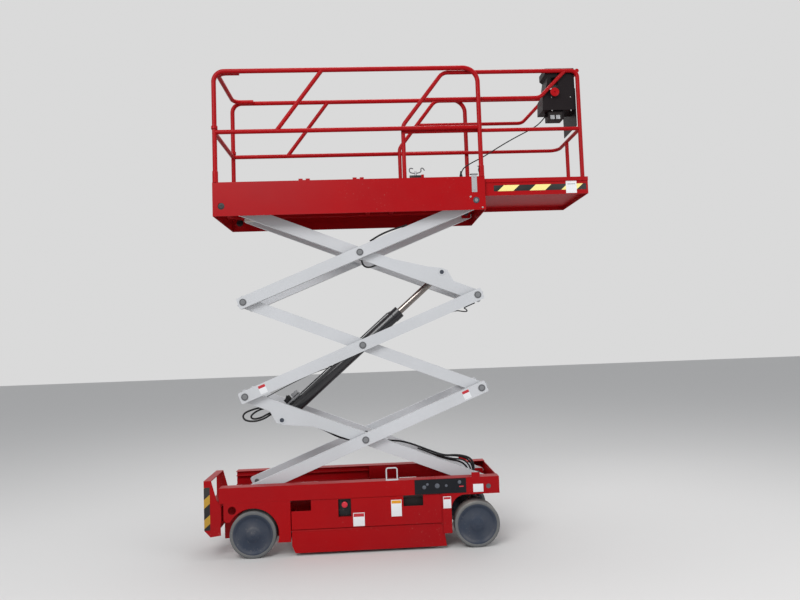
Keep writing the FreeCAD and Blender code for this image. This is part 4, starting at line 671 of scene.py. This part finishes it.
# Name, body that carries it, radius and control points, in millimetres from the rear axle
HOSE_ROUTES = [
    ("tail_loop_outer", "inner_1", 0.008,
     [(170, -150, 1195), (80, -150, 1212), (-20, -152, 1192), (-95, -155, 1165), (-112, -158, 1130),
      (-85, -158, 1096), (-10, -156, 1086), (70, -150, 1105), (130, -146, 1142),
      (190, -142, 1170)]),
    ("tail_loop_inner", "inner_1", 0.008,
     [(150, -125, 1200), (60, -125, 1196), (-10, -128, 1165), (-50, -130, 1130), (-30, -132, 1104),
      (40, -130, 1112), (110, -126, 1150), (180, -122, 1172)]),
    ("middle_strand", "inner_1", 0.008,
     [(540, -150, 1012), (600, -150, 985), (680, -150, 938), (745, -150, 912), (810, -150, 893),
      (880, -150, 885), (950, -150, 862)]),
    ("nose_strand_high", "inner_1", 0.008,
     [(1100, -100, 868), (1204, -100, 869), (1336, -100, 837), (1460, -100, 785), (1598, -100, 728),
      (1668, -100, 716), (1774, -100, 706), (1855, -100, 672), (1893, -100, 585),
      (1893, -100, 500)]),
    ("nose_strand_low", "inner_1", 0.008,
     [(1440, -70, 772), (1520, -70, 738), (1600, -70, 700), (1690, -70, 672), (1775, -70, 655),
      (1830, -70, 615), (1850, -70, 560), (1848, -70, 500)]),
    ("nose_strand_mid", "inner_1", 0.007,
     [(1400, -130, 795), (1500, -130, 755), (1600, -130, 715), (1700, -130, 690), (1790, -130, 684),
      (1845, -130, 640), (1868, -130, 570), (1868, -130, 505)]),
    ("nose_loop_high", "inner_1", 0.009,
     [(1560, -150, 738), (1640, -150, 724), (1720, -150, 726), (1800, -150, 716), (1862, -150, 690),
      (1886, -150, 640), (1884, -150, 560), (1880, -150, 505)]),
    ("upper_loop", "inner_3", 0.0075,
     [(955, -140, 2520), (962, -140, 2470), (968, -140, 2428), (1000, -140, 2402),
      (1045, -140, 2404), (1095, -140, 2424), (1160, -140, 2432)]),
    ("deck_strand", "outer_3", 0.008,
     [(1040, -246, 2620), (1090, -246, 2652), (1156, -246, 2686), (1225, -246, 2712),
      (1289, -246, 2732), (1370, -246, 2756)]),
    ("valve_wire", "outer_2", 0.0035,
     [(60, -102, 1275), (112, -102, 1301), (250, -104, 1370), (400, -120, 1440), (521, -140, 1492),
      (654, -140, 1529), (780, -140, 1590)]),
    ("joint_wire", "outer_2", 0.005,
     [(1735, -246, 1978), (1775, -246, 1990), (1830, -246, 1978), (1874, -246, 1976),
      (1862, -246, 1998), (1838, -246, 2008), (1880, -246, 2026), (1940, -246, 2050)]),
]
for name, body, radius, route in HOSE_ROUTES:
    laid_line(name, HOSE_RUBBER, body, radius, route)

# Platform: one folded deck with deep sides, end plates and gutters, carried by the top arms.
# The extension's deck is a second folded tray that slides inside it on pads.
softened(RED, "platform_deck", "extension_deck", width=0.0015)
TOP_Z = PIVOT_Z + 3 * RISE
DECK_PIN_Y, DECK_PIN_R = 405, 15
# Painted shade: a flat black disc set behind each lock hole stands in for the shadow inside the hole.
LOCK_X, LOCK_Y, LOCK_UP, LOCK_R = -209, 394.5, 2, 33
for name, side in (("near", -1), ("far", 1)):
    face_disc(f"deck_pin_face_{name}", PIN_FACE, "platform", (HINGE_X, side * DECK_PIN_Y, TOP_Z),
              DECK_PIN_R, side)
    face_disc(f"lock_hole_shade_{name}", BLACK, "platform", (LOCK_X, side * LOCK_Y, TOP_Z + LOCK_UP), LOCK_R,
              side, 0.8)
softened(RED, "upper_tracks")
BOLT_STEEL = painted("bolt_steel", (0.42, 0.42, 0.42), (0.34, 0.33, 0.32), (0.22, 0.15, 0.10), 0.38, dust=0.3)
BOLT_STEEL.node_tree.nodes["Principled BSDF"].inputs["Metallic"].default_value = 0.85


def screws(name, body, spots, radius, high):
    """Hexagon heads, each on a washer, standing on a near side plate at the spots given."""
    for number, spot in enumerate(spots):
        head = [(0, 0), (0, radius * 1.5), (0.0012, radius * 1.5), (0.0012, radius), (high, radius),
                (high + 0.0006, radius * 0.8), (high + 0.0006, 0)]
        surface(f"{name}_{number}", BOLT_STEEL, body, turned(head, spot, (0, -1, 0), 6), sharp=25)


screws("deck_bolt", "platform", [at(1918, SIDE_Y, 2959), at(2019, SIDE_Y, 2864)], radius=0.006, high=0.004)
PAD_GREY = painted("pad_grey", (0.36, 0.36, 0.37), (0.30, 0.30, 0.31), (0.2, 0.17, 0.15), 0.5, dust=0.2)
PAD_X, PAD_Z, PAD_THICK, CAP_X, CAP_TOP = (1932, 1978), (2998, 3152), 2.5, (1921, 1988), 3159
flat_plate("slide_pad", PAD_GREY, "platform", at(PAD_X[0], SIDE_Y - PAD_THICK, PAD_Z[0]),
           at(PAD_X[1], SIDE_Y, PAD_Z[1]), 0.0008)
flat_plate("slide_pad_cap", BLACK, "platform", at(CAP_X[0], SIDE_Y - 4, PAD_Z[1]),
           at(CAP_X[1], SIDE_Y + 16, CAP_TOP), 0.001)
screws("pad_screw", "platform", [at(sum(PAD_X) / 2, SIDE_Y - PAD_THICK, z) for z in (3020, 3128)],
       radius=0.004, high=0.002)
POST_HOOK_ROUTE = [(1986, -398, 3224), (1998, -398, 3228), (2001, -398, 3209), (1993, -398, 3195),
                   (1998, -398, 3176)]
laid_line("post_hook", BLACK, "platform", 0.003, POST_HOOK_ROUTE)

# Guard rails: round tubes bent at the corners and set in sockets on the deck sides.
# The extension's rails slide inside them and end in a swept-back frame.
RAIL_Z, MID_Z, POST_FOOT_Z = TOP_Z + 1177, TOP_Z + 646, TOP_Z + 208
RAIL_Y, POST_TAIL_X, POST_NOSE_X, BAND_Z = 383, -257, 2024, 3600
sleeve = np.array([(0, 20), (0, 24), (97, 24), (100, 21), (100, 20)]) / 1000
for name, side in (("near", -1), ("far", 1)):
    y = side * RAIL_Y
    loop = run_points([at(POST_TAIL_X, y, POST_FOOT_Z), at(POST_TAIL_X, y, RAIL_Z),
                       at(POST_NOSE_X, y, RAIL_Z), at(POST_NOSE_X, y, POST_FOOT_Z)], [0.09, 0.13])
    rail = surface(f"{name}_rail", RED, "platform", tube(loop, 0.020))
    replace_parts(rail, f"side_rail_{name}")
    surface(f"{name}_mid_rail", RED, "platform",
            tube([at(POST_TAIL_X, y, MID_Z), at(POST_NOSE_X, y, MID_Z)], 0.019))
    surface(f"{name}_rail_strut", RED, "platform", tube([at(267, y, MID_Z), at(672, y, RAIL_Z)], 0.018))
    for number, x in enumerate((POST_TAIL_X, POST_NOSE_X)):
        socket = turned(sleeve, at(x, y, POST_FOOT_Z), (0, 0, 1), 28)
        surface(f"{name}_socket_{number}", RED, "platform", socket, loop=(True, True))
band = np.array([(0, 20.2), (0, 23), (2, 24), (10, 24), (12, 23), (12, 20.2)]) / 1000
surface("rail_band", BLACK, "platform", turned(band, at(POST_TAIL_X, -RAIL_Y, BAND_Z), (0, 0, 1), 28),
        loop=(True, True))
HOOP_X, HOOP_Y = (-237, -47), 343.2
hoop = run_points([at(HOOP_X[1], -HOOP_Y, RAIL_Z), at(HOOP_X[0], -HOOP_Y, RAIL_Z),
                   at(HOOP_X[0], HOOP_Y, RAIL_Z), at(HOOP_X[1], HOOP_Y, RAIL_Z)], [0.08, 0.08])
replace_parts(surface("tail_hoop", RED, "platform", tube(hoop, 0.0195)), "tail_top_rail")
softened(RED, "entry_bar", width=0.001)

NOSE_Y, NOSE_Z, NOSE_FOOT_Z = 340, TOP_Z + 1154, TOP_Z + 190
BACK_X, RAKED_X, FRONT_X, LOW_Z = 1359, 1724, 2925, TOP_Z + 630
HAND_X, HAND_Z = (1557, 2578, 2816), NOSE_Z - 240
EXTENSION_TUBE, CROSS_TUBE, POST_TUBE = 0.018, 0.0165, 0.017
extension_runs = []
for side in (-1, 1):
    y = side * NOSE_Y
    start = [at(BACK_X, y, NOSE_FOOT_Z), at(BACK_X, y, MID_Z + 40), at(RAKED_X, y, NOSE_Z),
             at(FRONT_X, y, NOSE_Z)]
    low = [at(BACK_X, y, LOW_Z), at(FRONT_X, y, LOW_Z)]
    if side < 0:
        extension_runs.append((start + [at(FRONT_X, y, NOSE_FOOT_Z)], [0.09, 0.09, 0.06], EXTENSION_TUBE))
        extension_runs.append((low, [], CROSS_TUBE))
    else:
        extension_runs.append((start + [at(FRONT_X, -y, NOSE_Z)], [0.09, 0.09, 0.07], EXTENSION_TUBE))
        extension_runs.append((low + [at(FRONT_X, -y, LOW_Z)], [0.09], CROSS_TUBE))
    hand_rail = [at(HAND_X[0], y, HAND_Z), at(HAND_X[1], y, HAND_Z), at(HAND_X[2], y, NOSE_Z)]
    extension_runs.append((hand_rail, [0.09], CROSS_TUBE))
extension_runs.append(([at(FRONT_X, 50, NOSE_FOOT_Z), at(FRONT_X, 50, LOW_Z)], [], POST_TUBE))
for number, (points, bends, radius) in enumerate(extension_runs):
    rail = surface(f"extension_rail_{number}", RED, "extension", tube(run_points(points, bends), radius))
    if number == 0:
        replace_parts(rail, "extension_rail")

HOOK_X, HOOK_Y, HOOK_Z = 2712, -352, NOSE_Z - 196
hook_line = np.array([(0, 5), (0, 37), (1, 39), (5, 39), (6, 37), (6, 5)]) / 1000
surface("rail_hook_plate", RED, "extension", turned(hook_line, at(HOOK_X, HOOK_Y, HOOK_Z), (0, -1, 0), 40),
        loop=(True, True), sharp=30)

# Extension latch: a sprung pin in a black base on the deck's edge, lifted by a grey handle with two wings.
# A small red block beside it stands on the same edge.
LATCH_Y, LATCH_FOOT_Z, LATCH_TOP_Z, LATCH_X, WING = -341, 3132.3, 3170, 1455, 0.0048
flat_plate("latch_body", BLACK, "extension", at(1401, LATCH_Y - 12, LATCH_FOOT_Z),
           at(1501, LATCH_Y + 12, LATCH_TOP_Z), 0.003)
latch_post = np.array([(0, 0), (0, 11), (14, 11), (16, 8), (40, 8), (42, 6), (42, 0)]) / 1000
post = turned(latch_post, at(LATCH_X, LATCH_Y, LATCH_TOP_Z), (0, 0, 1), 28)
surface("latch_post", VALVE_GREY, "extension", post, sharp=30)
tail_wing = [(1452, 3190), (1425, 3190), (1403, 3200), (1400, 3228), (1418, 3238), (1434, 3228)]
nose_wing = [(1458, 3190), (1485, 3192), (1505, 3205), (1500, 3230), (1520, 3238), (1533, 3212)]
for name, wing in (("tail", tail_wing), ("nose", nose_wing)):
    laid_line(f"latch_wing_{name}", PIN_GREY, "extension", WING, [(x, LATCH_Y, z) for x, z in wing])
flat_plate("latch_cap", RED, "extension", at(1502, LATCH_Y - 10, LATCH_FOOT_Z),
           at(1527, LATCH_Y + 10, 3176), 0.004)

# Stripe along the extension: black and yellow tape on the near side plate, with a bare label over its end.
# Both are vinyl stuck on the paint.
EXTENSION_TAPE = hazard_tape("extension_tape", (0.82, 0.72, 0.26), 0.137, -1.09, 0.143,
                             REAR + 2.165 - 1.09 * 3.010)
EXTENSION_Y = -370
flat_plate("extension_tape_near", EXTENSION_TAPE, "extension", at(2128, EXTENSION_Y - 1.1, 3007),
           at(2943, EXTENSION_Y, 3059), 0.0004)
flat_plate("extension_label", LABEL_WHITE, "extension", at(2763, EXTENSION_Y - 1.9, 2976),
           at(2858, EXTENSION_Y - 1.2, 3086), 0.0003)
flat_plate("extension_label_line", BLACK, "extension", at(2776, EXTENSION_Y - 2.2, 3054),
           at(2846, EXTENSION_Y - 1.7, 3058), 0.0002)

# Platform controls: a black box on the near top rail, a cowl over its levers and a black panel behind it.
# Box and panel are moulded plastic; a grey plate with two covered sockets is fixed to the near face.
BOX_BLACK = painted("box_black", (0.009, 0.006, 0.007), (0.013, 0.010, 0.011), (0.06, 0.05, 0.05), 0.42,
                    chips=0.2, dust=0.025, gloss=0.1)
softened(BOX_BLACK, "control_panel_plate", "control_box", width=0.004)
BOX_FRONT_Y, SOCKET_X, SOCKET_Z = -321.7, (2656, 2776), (3640, 3712)
COVER_LONG, COVER_Z, SCREW_X, SCREW_Z = 36, (3652, 3688), (2690, 2860), (3730, 3850)
flat_plate("socket_plate", GREY, "extension", at(SOCKET_X[0], BOX_FRONT_Y - 2, SOCKET_Z[0]),
           at(SOCKET_X[1], BOX_FRONT_Y - 0.2, SOCKET_Z[1]))
for number, x in enumerate((2672, 2722)):
    flat_plate(f"socket_cover_{number}", VALVE_GREY, "extension", at(x, BOX_FRONT_Y - 4, COVER_Z[0]),
               at(x + COVER_LONG, BOX_FRONT_Y - 2, COVER_Z[1]), 0.001)
screws("box_screw", "extension", [at(x, BOX_FRONT_Y, z) for x in SCREW_X for z in SCREW_Z],
       radius=0.004, high=0.003)

# Control cable: a black rubber cable from a gland on the deck's edge to the underside of the control box.
# It hangs in one long bow between the two, and a stepped rubber sleeve keeps it from kinking at the gland.
GLAND_X, GLAND_Y = 1850, -349
GLAND_UP, SLEEVE_UP = 230, 190.2
# Share of the reach, y and height over the arms' top pins of each control point
CABLE_ROUTE = [(0, -349, 230), (0.006, -349, 284), (0.115, -343, 340), (0.255, -325, 396), (0.4, -306, 470),
               (0.545, -288, 540), (0.675, -275, 597), (0.805, -262, 650), (0.928, -242, 712),
               (1, -225, 784)]
CABLE_REACH, CABLE_DIAMETER, CABLE_LENGTH = 805, 0.010, 1.016
CABLE_RUBBER = painted("cable_rubber", (0.010, 0.010, 0.011), (0.016, 0.016, 0.017), (0.06, 0.055, 0.05),
                       0.5, dust=0.03, gloss=0.1)
cable_points = [(GLAND_X + share * CABLE_REACH, y, TOP_Z + up) for share, y, up in CABLE_ROUTE]
cable = laid_line("control_cable_line", CABLE_RUBBER, "extension", CABLE_DIAMETER / 2, cable_points)
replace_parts(cable, "control_cable")
relief_line = np.array([(0, 10.2), (0, 17), (22, 17), (24, 14), (44, 13), (47, 10.5), (52, 10.5), (55, 8.6),
                        (64, 8), (67, 6.8), (76, 6.2), (78, 5.1), (40, 5.05), (40, 10.2)]) / 1000
relief = surface("cable_relief", CABLE_RUBBER, "extension",
                 turned(relief_line, at(GLAND_X, GLAND_Y, TOP_Z + SLEEVE_UP), (0, 0, 1), 32),
                 loop=(True, True), sharp=30)
